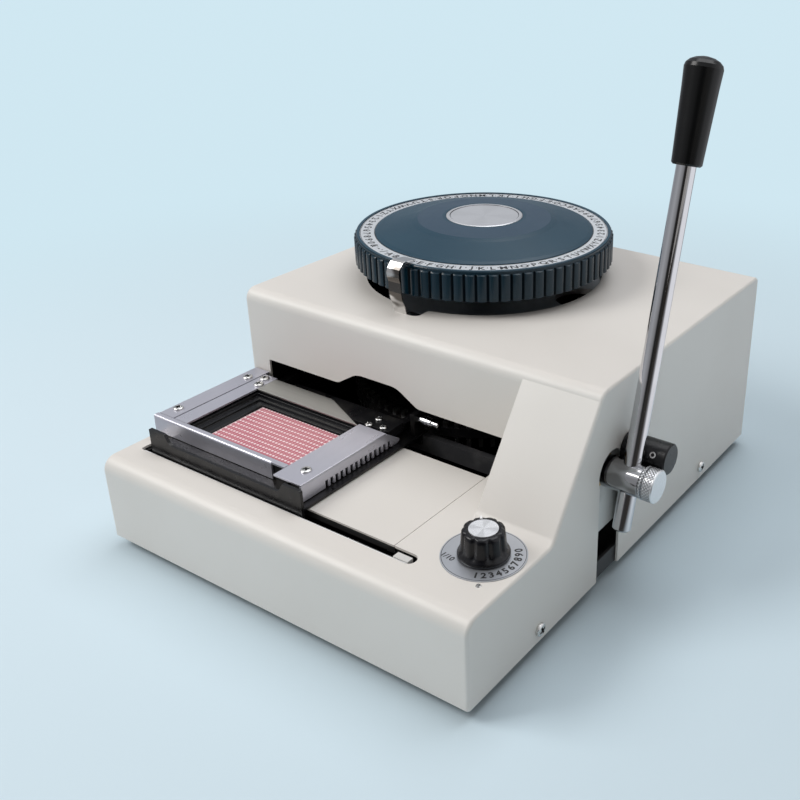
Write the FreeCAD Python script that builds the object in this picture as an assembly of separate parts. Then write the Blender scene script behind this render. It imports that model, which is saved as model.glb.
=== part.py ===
"""Hand-operated embosser for plastic cards, as an assembly of separate pieces.

Lengths are in millimetres. While a piece is being shaped, x runs from the left edge of the cover,
y from its front edge and z from the floor. Saving a piece moves it so that the origin lies on the
floor in the middle of the cover's footprint.
"""
import FreeCAD, Part
import math
import os

Vec = FreeCAD.Vector

# Cover
COVER_W = 280.0
COVER_D = 348.0
COVER_WALL = 1.5
COVER_SCREW_RISE = 2.4
FOOT_H = 8.0
DECK_H = 55.5
ROOF_H = 127.5
FACE_Y = 125.3
FRONT_ROUND = 9.0
ROOF_ROUND = 8.0
BACK_ROUND = 4.0
SIDE_ROUND = 2.0
SHOULDER_X = 227.5
SHOULDER_FOOT_Y = 78.0
SHOULDER_TOP_Y = 129.5
SHOULDER_ROUND = 7.0

# Openings of the cover
SLOT_X0 = 9.8
SLOT_X1 = 227.0
SLOT_Y0 = 21.6
SLOT_Y1 = 30.9
DECK_SEAM_X = 208.6
DECK_REAR_Y = 114.1
SEAM_GAP = 0.4
THROAT_X0 = 17.2
THROAT_X1 = 222.0
THROAT_H = 79.0
ARCH_X = 114.5
ARCH_HALF_W = 33.5
ARCH_RISE = 10.4
ARCH_FOOT_ROUND = 9.0
ROOF_HOLE_R = 83.7
SIDE_SLOT_HALF_W = 12.8
HUB_HOLE_R = 14.0

# Base and side plates
BASE_T = 2.0
BASE_GAP = 0.5
BASE_FLANGE_H = 12.0
PLATE_T = 4.0
LEFT_PLATE_X = 6.0
RIGHT_PLATE_X = 270.0
PLATE_TOP_H = 118.0
PLATE_BACK_Y = 332.0
FOOT_R = 12.0
FOOT_INSET = 30.0

# Dial and type wheels
DIAL_X = 112.8
DIAL_Y = 247.5
CHARACTERS = 75
DIAL_R = 90.5
DIAL_RIM_BOTTOM_H = 138.5
DIAL_RING_H = 158.7
DIAL_RIM_LIP = 0.6
RING_R0 = 76.2
RING_R1 = 86.5
RING_T = 0.7
PLATEAU_R = 48.0
PLATEAU_RISE = 7.8
BADGE_R = 26.6
BADGE_RISE = 10.0
BADGE_T = 1.2
DIAL_WALL = 3.0
FLUTE_DEPTH = 1.3
FLUTE_SHARE = 0.3
SHAFT_R = 8.0
WHEEL_R = 97.0
WHEEL_T = 6.5
WHEEL_HUB_R = 20.0
WHEEL_HUB_T = 5.5
UPPER_WHEEL_H = 73.5
LOWER_WHEEL_H = 44.5
TYPE_R = 93.5
TYPE_W = 3.0
TYPE_DEPTH = 5.0
PUNCH_BOTTOM_H = 71.4
PUNCH_L = 18.0
DIE_TOP_H = 55.2
DIE_L = 18.0
TYPE_GAP = 0.25

# Carriage
FRAME_TOP_H = 69.6
FRAME_BOTTOM_H = 58.0
SHEET_T = 1.2
BED_T = 1.5
BED_GAP = 0.5
BED_X0 = 16.0
BED_REAR_X0 = 17.6
BED_X1 = 145.3
BED_REAR_Y = 139.0
WALL_Y = 25.2
WALL_T = 2.0
WALL_LOW_H = 38.0
WALL_CUT_H = 63.5
EAR_W = 14.0
STRIP_X0 = 2.7
STRIP_X1 = 16.6
RISER_T = 1.4
LIP_X1 = 107.6
LIP_Y = 39.4
STRIP_BACK_Y = 124.5
INNER_X0 = 17.6
FRAME_X1 = 140.6
FRAME_Y0 = 30.5
FRAME_Y1 = 120.0
WINDOW_X0 = 29.2
WINDOW_X1 = 118.8
WINDOW_Y0 = 43.4
WINDOW_Y1 = 101.4
SEAT_Y1 = 107.0
COMB_T = 1.5
COMB_MID_Y = 78.3
ROWS = 14
ROW_PITCH = 25.4 / 6
NOTCH_W = 2.2
NOTCH_H = 3.6
CARD_W = 85.6
CARD_D = 54.0
CARD_T = 0.76
CARD_TOP_H = 62.8
CARD_LEDGE = 2.0
GUIDE_W = 6.0
GUIDE_H = 4.4
GUIDE_LEFT_X = 18.6
GUIDE_RIGHT_X = 127.0
ROW_TRAVEL = 103.5
COLUMN_TRAVEL = 67.5
SLIDE_GAP = 0.3

# Rails under the carriage
ROD_R = 4.0
ROD_Y = 37.0
ROD_H = 40.0
ROD_FIT = 0.05
RAIL_Y = 133.0
RAIL_T = 5.0
RAIL_LOW_H = 44.0
RAIL_X1 = 227.0
RACK_Y = 22.8
RACK_T = 1.4
RACK_LOW_H = 44.0
RACK_TOP_H = 53.5
STOP_BLOCK_W = 10.0
STOP_BLOCK_Y1 = 28.7
BUSH_L = 16.0
COLUMN_PITCH = 2.54
RACK_TEETH = 14
PIN_Y = 131.0
PIN_H = 68.4

# Lever
LEVER_Y = 140.0
LEVER_H = 71.4
LEVER_LEAN = 14.7
LEVER_PULL = 60.0
LEVER_ROD_X = 292.6
LEVER_ROD_R = 5.5
LEVER_BELOW = 32.0
GRIP_START = 178.0
GRIP_L = 57.0
GRIP_R0 = 8.5
GRIP_R1 = 10.7
HUB_R = 9.7
HUB_X0 = 277.0
HUB_X1 = 301.7
CAP_X1 = 310.8
CAP_R = 10.0
LEVER_SHAFT_X0 = 242.0
LEVER_SHAFT_X1 = 286.0
STOP_Y = 158.2
STOP_H = 79.6
STOP_R = 9.6
STOP_STUD_R = 3.0
STOP_X1 = 308.7

# Press arms and cams
PIVOT_Y = 318.0
UPPER_PIVOT_H = 106.0
LOWER_PIVOT_H = 20.0
PIVOT_PIN_R = 6.0
PIVOT_BOSS_R = 9.0
ARM_T = 12.0
ARM_REAR_W = 88.0
ARM_NOSE_W = 30.0
ARM_NOSE_Y = 131.0
ARM_EYE_R = 28.0
UPPER_ARM_H = 100.0
LOWER_ARM_H = 8.5
PUNCH_STROKE = 8.5
DIE_STROKE = 6.6
RAM_GAP = 0.3
RAM_W = 2.8
RAM_D = 3.4
CAM_T = 7.0
CAM_HUB_R = 11.0
CAM_BASE_R = 13.0
FOLLOWER_R = 4.0
FOLLOWER_GAP = 0.25
UPPER_CAM_X = 243.0
LOWER_CAM_X = 251.5
HANGER_X = 234.0
HANGER_T = 6.0
UPRIGHT_X = 260.0
UPRIGHT_T = 4.0
SPRING_X = 238.0
SPRING_Y = 120.0
SPRING_R = 8.0
SPRING_WIRE_R = 1.0

# Pitch knob
KNOB_X = 253.4
KNOB_Y = 50.9
LABEL_R = 23.6
LABEL_T = 0.6
KNOB_SKIRT_R = 14.4
KNOB_BODY_R = 12.6
KNOB_TOP_R = 11.2
KNOB_H = 17.0
KNOB_CAP_R = 8.2
KNOB_FLUTES = 8
INDEX_PIN_X = 266.6
INDEX_PIN_Y = 27.9

# Pointer
POINTER_X = 114.7
POINTER_W = 10.0
POINTER_T = 0.8
POINTER_Y = 154.0
POINTER_SCREW_X = 121.6
POINTER_SCREW_Y = 163.5

# Heights above the floor that several pieces share
BASE_Z = FOOT_H
DECK_Z = BASE_Z + DECK_H
ROOF_Z = BASE_Z + ROOF_H
FLOOR_TOP_Z = BASE_Z + BASE_T
LEVER_Z = BASE_Z + LEVER_H
ORIGIN_X = (CAP_X1 - COVER_SCREW_RISE) / 2
BED_Z = DECK_Z + BED_GAP
FRAME_Z0 = BASE_Z + FRAME_BOTTOM_H
FRAME_Z1 = BASE_Z + FRAME_TOP_H
CARD_Z = BASE_Z + CARD_TOP_H - CARD_T
PLATE_TOP_Z = BASE_Z + PLATE_TOP_H
PRESS_Y = DIAL_Y - TYPE_R
PRESS_REACH = PIVOT_Y - PRESS_Y
GUIDE_Z = BED_Z + BED_T
SHEET_Z = FRAME_Z1 - SHEET_T
RISER_X0 = STRIP_X0 + SHEET_T
UPPER_SWING = math.degrees(math.asin(PUNCH_STROKE / PRESS_REACH))
LOWER_SWING = math.degrees(math.asin(DIE_STROKE / PRESS_REACH))


def box(x0, x1, y0, y1, z0, z1):
    """Return the block between two corners."""
    return Part.makeBox(x1 - x0, y1 - y0, z1 - z0, Vec(x0, y0, z0))


def rod(radius, start, end):
    """Return a round bar from one point to another."""
    start = Vec(*start)
    along = Vec(*end) - start
    return Part.makeCylinder(radius, along.Length, start, along)


def disc(radius, x, y, z0, z1):
    """Return an upright cylinder."""
    return rod(radius, (x, y, z0), (x, y, z1))


def fuse(shapes):
    """Return one clean solid made of several."""
    first, rest = shapes[0], shapes[1:]
    return first.fuse(rest).removeSplitter() if rest else first


def on_xy(z):
    """Return the map of an outline to the level z."""
    return lambda u, v: Vec(u, v, z)


def on_yz(x):
    """Return the map of an outline to the upright plane at x, looking along x."""
    return lambda u, v: Vec(x, u, v)


def on_xz(y):
    """Return the map of an outline to the upright plane at y."""
    return lambda u, v: Vec(u, y, v)


def outline(corners, place):
    """Return a closed wire through corners (u, v, radius), rounded where the radius isn't zero."""
    count = len(corners)
    starts, ends, middles = [], [], []
    for index, (u, v, radius) in enumerate(corners):
        corner = Vec(u, v, 0)
        before = Vec(*corners[index - 1][:2], 0) - corner
        after = Vec(*corners[(index + 1) % count][:2], 0) - corner
        before.normalize()
        after.normalize()
        half = before.getAngle(after) / 2
        reach = radius / math.tan(half)
        middle = before + after
        if radius:
            middle.normalize()
            depth = radius / math.sin(half) - radius
        starts.append(corner + before * reach)
        ends.append(corner + after * reach)
        middles.append(corner + middle * depth if radius else corner)
    edges = []
    for index in range(count):
        if corners[index][2]:
            arc = [place(p.x, p.y) for p in (starts[index], middles[index], ends[index])]
            edges.append(Part.Arc(*arc).toShape())
        run_start = ends[index]
        run_end = starts[(index + 1) % count]
        if (run_end - run_start).Length > 1e-6:
            line = Part.LineSegment(place(run_start.x, run_start.y), place(run_end.x, run_end.y))
            edges.append(line.toShape())
    return Part.Wire(edges)


def inset(corners, wall):
    """Return the corners of an outline moved inwards by a wall; the outline runs clockwise."""
    count = len(corners)
    result = []
    for index, (u, v, radius) in enumerate(corners):
        corner = Vec(u, v, 0)
        into = corner - Vec(*corners[index - 1][:2], 0)
        out = Vec(*corners[(index + 1) % count][:2], 0) - corner
        into.normalize()
        out.normalize()
        turn = into.x * out.y - into.y * out.x
        inward = Vec(into.y, -into.x, 0) + Vec(out.y, -out.x, 0)
        moved = corner + inward * (wall / (1 + into.dot(out)))
        rounded = radius - wall if turn < 0 else radius + wall
        result.append((moved.x, moved.y, max(rounded, 0) if radius else 0))
    return result


def slab(wire, along):
    """Return the solid that a flat outline sweeps along a vector."""
    return Part.Face(wire).extrude(Vec(*along))


def turned(points, x, y):
    """Return the solid that (radius, z) points make when turned about an upright axis."""
    wire = Part.makePolygon([Vec(x + r, y, z) for r, z in points + points[:1]])
    return Part.Face(wire).revolve(Vec(x, y, 0), Vec(0, 0, 1), 360)


def turned_about(points, start, along):
    """Return the solid that (radius, distance) points make when turned about any axis."""
    shape = turned(points, 0, 0)
    axis = Vec(*along)
    shape.Placement = FreeCAD.Placement(Vec(*start), FreeCAD.Rotation(Vec(0, 0, 1), axis))
    return shape


def screw_head(radius, height, start, along):
    """Return a low domed screw head."""
    edge = radius * 0.55
    points = [(0, 0), (radius, 0), (radius, height * 0.5), (edge, height), (0, height)]
    return turned_about(points, start, along)


def save(name, shapes):
    """Write a node's solids, moved so that the middle of the whole outline stands at zero."""
    solids = shapes if isinstance(shapes, list) else [shapes]
    moved = [shape.translated(Vec(-ORIGIN_X, -COVER_D / 2, 0)) for shape in solids]
    whole = moved[0] if len(moved) == 1 else Part.makeCompound(moved)
    whole.exportStep(f"parts/{name}.step")


def head_outline(bottom_z):
    """Return the side outline of deck and head, clockwise from the front's foot."""
    return [
        (0, bottom_z, 0),
        (0, DECK_Z, FRONT_ROUND),
        (FACE_Y, DECK_Z, SIDE_ROUND + 1),
        (FACE_Y, ROOF_Z, ROOF_ROUND),
        (COVER_D, ROOF_Z, BACK_ROUND),
        (COVER_D, bottom_z, 0),
    ]


def shoulder_outline(bottom_z):
    """Return the side outline of the shoulder, clockwise from the front's foot."""
    return [
        (0, bottom_z, 0),
        (0, DECK_Z, FRONT_ROUND),
        (SHOULDER_FOOT_Y, DECK_Z, SHOULDER_ROUND),
        (SHOULDER_TOP_Y, ROOF_Z, SHOULDER_ROUND),
        (COVER_D, ROOF_Z, BACK_ROUND),
        (COVER_D, bottom_z, 0),
    ]


def side_edges(shape, x):
    """Return the edges of a shape that lie in one side, without its bottom edge."""
    found = []
    for edge in shape.Edges:
        bounds = edge.BoundBox
        if abs(bounds.XMin - x) < 0.01 and abs(bounds.XMax - x) < 0.01 and bounds.ZMax > BASE_Z + 1:
            found.append(edge)
    return found


def throat_cut():
    """Return the tool for the throat: a straight opening with a shallow arch over the press."""
    top = BASE_Z + THROAT_H
    corners = [
        (THROAT_X0, DECK_Z, 0),
        (THROAT_X0, top, 1.5),
        (ARCH_X - ARCH_HALF_W, top, ARCH_FOOT_ROUND),
        (ARCH_X - ARCH_HALF_W / 2, top + ARCH_RISE, ARCH_HALF_W / 2),
        (ARCH_X + ARCH_HALF_W / 2, top + ARCH_RISE, ARCH_HALF_W / 2),
        (ARCH_X + ARCH_HALF_W, top, ARCH_FOOT_ROUND),
        (THROAT_X1, top, 1.5),
        (THROAT_X1, DECK_Z, 0),
    ]
    return slab(outline(corners, on_xz(FACE_Y - 4)), (0, COVER_WALL + 5, 0))


def deck_cut():
    """Return the tool for the deck's opening, with the front slot that runs on to the right."""
    low, high = DECK_Z - COVER_WALL - 2, DECK_Z + 1
    half = (SLOT_Y1 - SLOT_Y0) / 2
    slot = outline(
        [
            (SLOT_X0, SLOT_Y0, 2),
            (SLOT_X1, SLOT_Y0, half - 0.01),
            (SLOT_X1, SLOT_Y1, half - 0.01),
            (SLOT_X0, SLOT_Y1, 0),
        ],
        on_xy(low),
    )
    bay = box(SLOT_X0, DECK_SEAM_X, SLOT_Y1 - 1, DECK_REAR_Y, low, high)
    rear = box(THROAT_X0, DECK_SEAM_X, DECK_REAR_Y - 1, FACE_Y + COVER_WALL + 1, low, high)
    return fuse([slab(slot, (0, 0, high - low)), bay, rear])


def roof_cut():
    """Return the tool for the round hole under the dial, with its notch for the pointer."""
    low, high = ROOF_Z - COVER_WALL - 1, ROOF_Z + 1
    hole = disc(ROOF_HOLE_R, DIAL_X, DIAL_Y, low, high)
    left = POINTER_X - POINTER_W / 2 - 1.2
    right = POINTER_SCREW_X + 6
    notch = outline(
        [
            (left, POINTER_Y - 1.6, 1),
            (left, DIAL_Y, 0),
            (right, DIAL_Y, 0),
            (right, POINTER_Y - 1.6, 5),
        ],
        on_xy(low),
    )
    return fuse([hole, slab(notch, (0, 0, high - low))])


def side_slot_cut():
    """Return the tool for the slot in the right side that lets the cover lift past the hub."""
    x0, x1 = COVER_W - COVER_WALL - 1, COVER_W + 1
    hole = rod(HUB_HOLE_R, (x0, LEVER_Y, LEVER_Z), (x1, LEVER_Y, LEVER_Z))
    half = SIDE_SLOT_HALF_W
    return fuse([hole, box(x0, x1, LEVER_Y - half, LEVER_Y + half, BASE_Z - 1, LEVER_Z)])


COVER_SCREWS = [
    (side, y, BASE_Z + height)
    for side in (0, 1)
    for y, height in ((65.0, 8.3), (270.5, 9.6))
]
COVER_SCREW_R = 2.0


def cover_screw_axis(side, y, z, depth):
    """Return the start and end of a cover screw's shank, from the outside inwards."""
    outer = COVER_W if side else 0
    inner = outer - depth if side else depth
    return (outer, y, z), (inner, y, z)


def make_cover():
    """Return the painted sheet-metal cover."""
    head = slab(outline(head_outline(BASE_Z), on_yz(0)), (COVER_W, 0, 0))
    shoulder_w = COVER_W - SHOULDER_X
    shoulder = slab(outline(shoulder_outline(BASE_Z), on_yz(SHOULDER_X)), (shoulder_w, 0, 0))
    outer = fuse([head, shoulder])
    outer = outer.makeFillet(SIDE_ROUND, side_edges(outer, 0) + side_edges(outer, COVER_W))
    low = BASE_Z - 2 * COVER_WALL
    inner_w = COVER_W - 2 * COVER_WALL
    hollow = slab(outline(inset(head_outline(low), COVER_WALL), on_yz(COVER_WALL)), (inner_w, 0, 0))
    bay_x = SHOULDER_X + COVER_WALL
    bay_wire = outline(inset(shoulder_outline(low), COVER_WALL), on_yz(bay_x))
    bay = slab(bay_wire, (COVER_W - COVER_WALL - bay_x, 0, 0))
    shell = outer.cut([hollow, bay])
    tools = [throat_cut(), deck_cut(), roof_cut(), side_slot_cut()]
    tools.append(disc(5.0, KNOB_X, KNOB_Y, DECK_Z - 4, DECK_Z + 1))
    tools.append(disc(1.1, INDEX_PIN_X, INDEX_PIN_Y, DECK_Z - 4, DECK_Z + 1))
    stop_z = BASE_Z + STOP_H
    tools.append(rod(3.3, (COVER_W - 4, STOP_Y, stop_z), (COVER_W + 1, STOP_Y, stop_z)))
    for side, y, z in COVER_SCREWS:
        tools.append(rod(COVER_SCREW_R + 0.3, *cover_screw_axis(side, y, z, COVER_WALL + 0.4)))
    return shell.cut(tools)


def make_deck_plate():
    """Return the separate deck plate with its front and rear flanges."""
    x0, x1 = SLOT_X0 + SEAM_GAP, DECK_SEAM_X - SEAM_GAP
    flange = 5.0
    top = box(x0, x1, SLOT_Y1, DECK_REAR_Y, DECK_Z - COVER_WALL, DECK_Z)
    front = box(x0, x1, SLOT_Y1, SLOT_Y1 + COVER_WALL, DECK_Z - flange, DECK_Z)
    rear = box(x0, x1, DECK_REAR_Y - COVER_WALL, DECK_REAR_Y, DECK_Z - 2 * flange, DECK_Z)
    return fuse([top, front, rear])


def make_deck_posts():
    """Return the four posts that carry the deck plate on the base."""
    posts = []
    for x in (60.0, 190.0):
        for y in (SLOT_Y1 + 22, DECK_REAR_Y - 8):
            posts.append(disc(4.0, x, y, FLOOR_TOP_Z, DECK_Z - COVER_WALL))
    return posts


def foot_places():
    """Return the centres of the four feet."""
    xs = (FOOT_INSET, COVER_W - FOOT_INSET)
    ys = (FOOT_INSET, COVER_D - FOOT_INSET)
    return [(x, y) for x in xs for y in ys]


def make_base_plate():
    """Return the bent base plate with its upturned edges."""
    edge = COVER_WALL + BASE_GAP
    outer = box(edge, COVER_W - edge, edge, COVER_D - edge, BASE_Z, BASE_Z + BASE_FLANGE_H)
    core = edge + BASE_T
    inner = box(core, COVER_W - core, core, COVER_D - core, FLOOR_TOP_Z, BASE_Z + BASE_FLANGE_H + 1)
    tools = [inner]
    for x in (edge, COVER_W - edge - 4):
        for y in (edge, COVER_D - edge - 4):
            tools.append(box(x, x + 4, y, y + 4, BASE_Z - 1, BASE_Z + BASE_FLANGE_H + 1))
    for x, y in foot_places():
        tools.append(disc(2.1, x, y, BASE_Z - 1, FLOOR_TOP_Z + 1))
    for side, y, z in COVER_SCREWS:
        tools.append(rod(COVER_SCREW_R + 0.05, *cover_screw_axis(side, y, z, core + 1)))
    return outer.cut(tools)


def make_feet():
    """Return the four rubber feet."""
    points = [(2.1, 4), (2.1, FOOT_H), (FOOT_R, FOOT_H), (FOOT_R - 1, 0), (5, 0), (5, 4)]
    return [turned(points, x, y) for x, y in foot_places()]


def make_foot_screws():
    """Return the screws and nuts that hold the feet."""
    nut_z = FLOOR_TOP_Z + 3.2
    points = [(0, 1.6), (4, 1.6), (4, 4), (2, 4), (2, FLOOR_TOP_Z), (3.6, FLOOR_TOP_Z)]
    points += [(3.6, nut_z), (2, nut_z), (2, nut_z + 1.5), (0, nut_z + 1.5)]
    return [turned(points, x, y) for x, y in foot_places()]


def make_cover_screws():
    """Return the four screws of the cover."""
    screws = []
    for side, y, z in COVER_SCREWS:
        start, end = cover_screw_axis(side, y, z, COVER_WALL + BASE_GAP + BASE_T + 2)
        head = screw_head(4.0, COVER_SCREW_RISE, start, (1 if side else -1, 0, 0))
        screws.append(fuse([head, rod(COVER_SCREW_R, start, end)]))
    return screws


def make_right_plate():
    """Return the bare side plate that carries the lever; it stands on two legs."""
    corners = [
        (98.0, FLOOR_TOP_Z, 0),
        (98.0, BASE_Z + 52, 6),
        (134.0, PLATE_TOP_Z - 8, 10),
        (150.0, PLATE_TOP_Z, 6),
        (PLATE_BACK_Y, PLATE_TOP_Z, 6),
        (PLATE_BACK_Y, FLOOR_TOP_Z, 0),
        (PLATE_BACK_Y - 60, FLOOR_TOP_Z, 0),
        (PLATE_BACK_Y - 70, BASE_Z + 28, 8),
        (118.0, BASE_Z + 28, 8),
        (113.0, FLOOR_TOP_Z, 0),
    ]
    plate = slab(outline(corners, on_yz(RIGHT_PLATE_X)), (PLATE_T, 0, 0))
    bore = rod(11.0, (RIGHT_PLATE_X - 1, LEVER_Y, LEVER_Z), (RIGHT_PLATE_X + 5, LEVER_Y, LEVER_Z))
    stop_z = BASE_Z + STOP_H
    stud = rod(STOP_STUD_R, (RIGHT_PLATE_X - 1, STOP_Y, stop_z), (RIGHT_PLATE_X + 5, STOP_Y, stop_z))
    foot = box(RIGHT_PLATE_X - 10, RIGHT_PLATE_X, PLATE_BACK_Y - 50, PLATE_BACK_Y, FLOOR_TOP_Z, FLOOR_TOP_Z + 3)
    return fuse([plate, foot]).cut([bore, stud])


def make_left_plate():
    """Return the left side plate with its foot."""
    corners = [
        (FACE_Y + COVER_WALL + 2.5, FLOOR_TOP_Z, 0),
        (FACE_Y + COVER_WALL + 2.5, PLATE_TOP_Z - 12, 6),
        (150.0, PLATE_TOP_Z, 6),
        (PLATE_BACK_Y, PLATE_TOP_Z, 6),
        (PLATE_BACK_Y, FLOOR_TOP_Z, 0),
    ]
    plate = slab(outline(corners, on_yz(LEFT_PLATE_X)), (PLATE_T, 0, 0))
    x0 = LEFT_PLATE_X + PLATE_T
    foot = box(x0, x0 + 12, 160, PLATE_BACK_Y, FLOOR_TOP_Z, FLOOR_TOP_Z + 3)
    return fuse([plate, foot])


def make_bridge():
    """Return the bearing bridge across the side plates, with its nose under the pointer."""
    z = PLATE_TOP_Z
    nose = POINTER_Y - 1.0
    corners = [
        (LEFT_PLATE_X, 205, 0),
        (60, 205, 10),
        (POINTER_X - 12, nose, 4),
        (POINTER_SCREW_X + 8, nose, 4),
        (170, 205, 10),
        (RIGHT_PLATE_X + PLATE_T, 205, 0),
        (RIGHT_PLATE_X + PLATE_T, PLATE_BACK_Y, 0),
        (LEFT_PLATE_X, PLATE_BACK_Y, 0),
    ]
    plate = slab(outline(corners, on_xy(z)), (0, 0, 4))
    bore = disc(14.0, DIAL_X, DIAL_Y, z - 1, z + 5)
    lighten = [disc(18.0, x, DIAL_Y + 5, z - 1, z + 5) for x in (50.0, 190.0)]
    return plate.cut([bore] + lighten)


def make_bridge_bush():
    """Return the flanged bush of the dial shaft."""
    z = PLATE_TOP_Z
    bore = SHAFT_R + 0.05
    points = [(bore, z - 2), (14, z - 2), (14, z + 4), (20, z + 4), (20, z + 7), (bore, z + 7)]
    return turned(points, DIAL_X, DIAL_Y)


def make_bearing_block():
    """Return the foot bearing of the dial shaft."""
    z = FLOOR_TOP_Z
    bore = SHAFT_R + 0.05
    points = [(0, z), (24, z), (24, z + 3), (14, z + 5), (14, z + 16), (bore, z + 16)]
    points += [(bore, z + 4), (0, z + 4)]
    return turned(points, DIAL_X, DIAL_Y)


def dial_section():
    """Return the (radius, z) outline of the dial's outer surface, from the axis outwards."""
    ring_z = BASE_Z + DIAL_RING_H
    rim_z = ring_z + DIAL_RIM_LIP
    seat_z = ring_z - RING_T
    badge_z = ring_z + BADGE_RISE
    return [
        (0, badge_z - BADGE_T),
        (BADGE_R + 0.3, badge_z - BADGE_T),
        (BADGE_R + 0.3, badge_z - 0.4),
        (BADGE_R + 2.5, badge_z - 0.4),
        (PLATEAU_R, ring_z + PLATEAU_RISE),
        (PLATEAU_R + 2, ring_z + PLATEAU_RISE - 1.2),
        (RING_R0 - 3, ring_z + 1.6),
        (RING_R0 - 0.2, ring_z + 0.4),
        (RING_R0 - 0.2, seat_z),
        (RING_R1 + 0.2, seat_z),
        (RING_R1 + 0.2, rim_z),
        (DIAL_R - 1.6, rim_z),
        (DIAL_R, rim_z - 1.6),
        (DIAL_R, BASE_Z + DIAL_RIM_BOTTOM_H + 1),
        (DIAL_R - 1, BASE_Z + DIAL_RIM_BOTTOM_H),
    ]


def flute_wire(z):
    """Return the rim's outline: one rib and one groove for each character."""
    pitch = 360.0 / CHARACTERS
    groove = pitch * FLUTE_SHARE
    edges = []

    def at(angle, radius):
        turn = math.radians(angle)
        return Vec(DIAL_X + radius * math.cos(turn), DIAL_Y + radius * math.sin(turn), z)

    for index in range(CHARACTERS):
        start = index * pitch
        rib_end = start + pitch - groove
        rib = (at(start, DIAL_R), at((start + rib_end) / 2, DIAL_R + 0.25), at(rib_end, DIAL_R))
        edges.append(Part.Arc(*rib).toShape())
        low = at(rib_end + groove / 2, DIAL_R - FLUTE_DEPTH)
        edges.append(Part.Arc(at(rib_end, DIAL_R), low, at(start + pitch, DIAL_R)).toShape())
    return Part.Wire(edges)


def make_dial():
    """Return the hollow dial with its fluted rim and inner boss."""
    rim_low = BASE_Z + DIAL_RIM_BOTTOM_H
    ring_z = BASE_Z + DIAL_RING_H
    outer = dial_section()
    inner_r = RING_R1 - 2.5
    roof_z = ring_z - RING_T - DIAL_WALL
    boss_r = 16.0
    under = [
        (inner_r, rim_low),
        (inner_r, roof_z),
        (PLATEAU_R, ring_z + PLATEAU_RISE - DIAL_WALL - 2),
        (boss_r, ring_z + PLATEAU_RISE - DIAL_WALL - 1),
        (boss_r, BASE_Z + DIAL_RIM_BOTTOM_H - 3),
        (SHAFT_R, BASE_Z + DIAL_RIM_BOTTOM_H - 3),
        (SHAFT_R, ring_z + 1),
        (0, ring_z + 1),
    ]
    solid = turned(outer + under, DIAL_X, DIAL_Y)
    ribs = slab(flute_wire(rim_low - 5), (0, 0, 60))
    return solid.common(ribs)


def make_index_ring():
    """Return the flat ring that carries the characters."""
    ring_z = BASE_Z + DIAL_RING_H
    points = [(RING_R0, ring_z - RING_T), (RING_R1, ring_z - RING_T), (RING_R1, ring_z), (RING_R0, ring_z)]
    return turned(points, DIAL_X, DIAL_Y)


def make_badge():
    """Return the bare disc in the middle of the dial."""
    top = BASE_Z + DIAL_RING_H + BADGE_RISE
    low = top - BADGE_T
    points = [(0, low), (BADGE_R, low), (BADGE_R, top - 0.4), (BADGE_R - 0.6, top)]
    points += [(BADGE_R - 2.4, top), (BADGE_R - 2.8, top - 0.4), (0, top - 0.4)]
    return turned(points, DIAL_X, DIAL_Y)


def make_dial_shaft():
    """Return the upright shaft that joins the dial to both type wheels."""
    return disc(SHAFT_R, DIAL_X, DIAL_Y, FLOOR_TOP_Z + 4.2, BASE_Z + DIAL_RING_H + 0.8)


def type_block(index, bottom_z, length, grow):
    """Return one punch or die in its place on the type circle, grown by a clearance."""
    half_w = TYPE_W / 2 + grow
    half_d = TYPE_DEPTH / 2 + grow
    y = DIAL_Y - TYPE_R
    block = box(DIAL_X - half_w, DIAL_X + half_w, y - half_d, y + half_d, bottom_z, bottom_z + length)
    turn = FreeCAD.Rotation(Vec(0, 0, 1), index * 360.0 / CHARACTERS)
    block.Placement = FreeCAD.Placement(Vec(0, 0, 0), turn, Vec(DIAL_X, DIAL_Y, 0))
    return block


def make_wheel(low_h, hub_up):
    """Return a type wheel with a hole for each punch or die and a hub on one side."""
    z = BASE_Z + low_h
    hub_z = z + WHEEL_T if hub_up else z - WHEEL_HUB_T
    web_z = z + WHEEL_T if hub_up else z - 1.5
    plate = disc(WHEEL_R, DIAL_X, DIAL_Y, z, z + WHEEL_T)
    hub = disc(WHEEL_HUB_R, DIAL_X, DIAL_Y, hub_z, hub_z + WHEEL_HUB_T)
    tools = [disc(SHAFT_R, DIAL_X, DIAL_Y, z - 20, z + 20)]
    tools += [type_block(index, z - 1, WHEEL_T + 2, TYPE_GAP) for index in range(CHARACTERS)]
    dish = [(WHEEL_HUB_R + 6, web_z - 1.5), (TYPE_R - 8, web_z - 1.5)]
    dish += [(TYPE_R - 8, web_z + 1.5), (WHEEL_HUB_R + 6, web_z + 1.5)]
    tools.append(turned(dish, DIAL_X, DIAL_Y))
    return fuse([plate, hub]).cut(tools)


def make_punches(live):
    """Return the punches of the upper wheel: the one under the ram, or all the others."""
    bottom = BASE_Z + PUNCH_BOTTOM_H
    chosen = [0] if live else range(1, CHARACTERS)
    return [type_block(index, bottom, PUNCH_L, 0) for index in chosen]


def make_dies(live):
    """Return the dies of the lower wheel: the one over the anvil, or all the others."""
    bottom = BASE_Z + DIE_TOP_H - DIE_L
    chosen = [0] if live else range(1, CHARACTERS)
    return [type_block(index, bottom, DIE_L, 0) for index in chosen]


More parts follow.
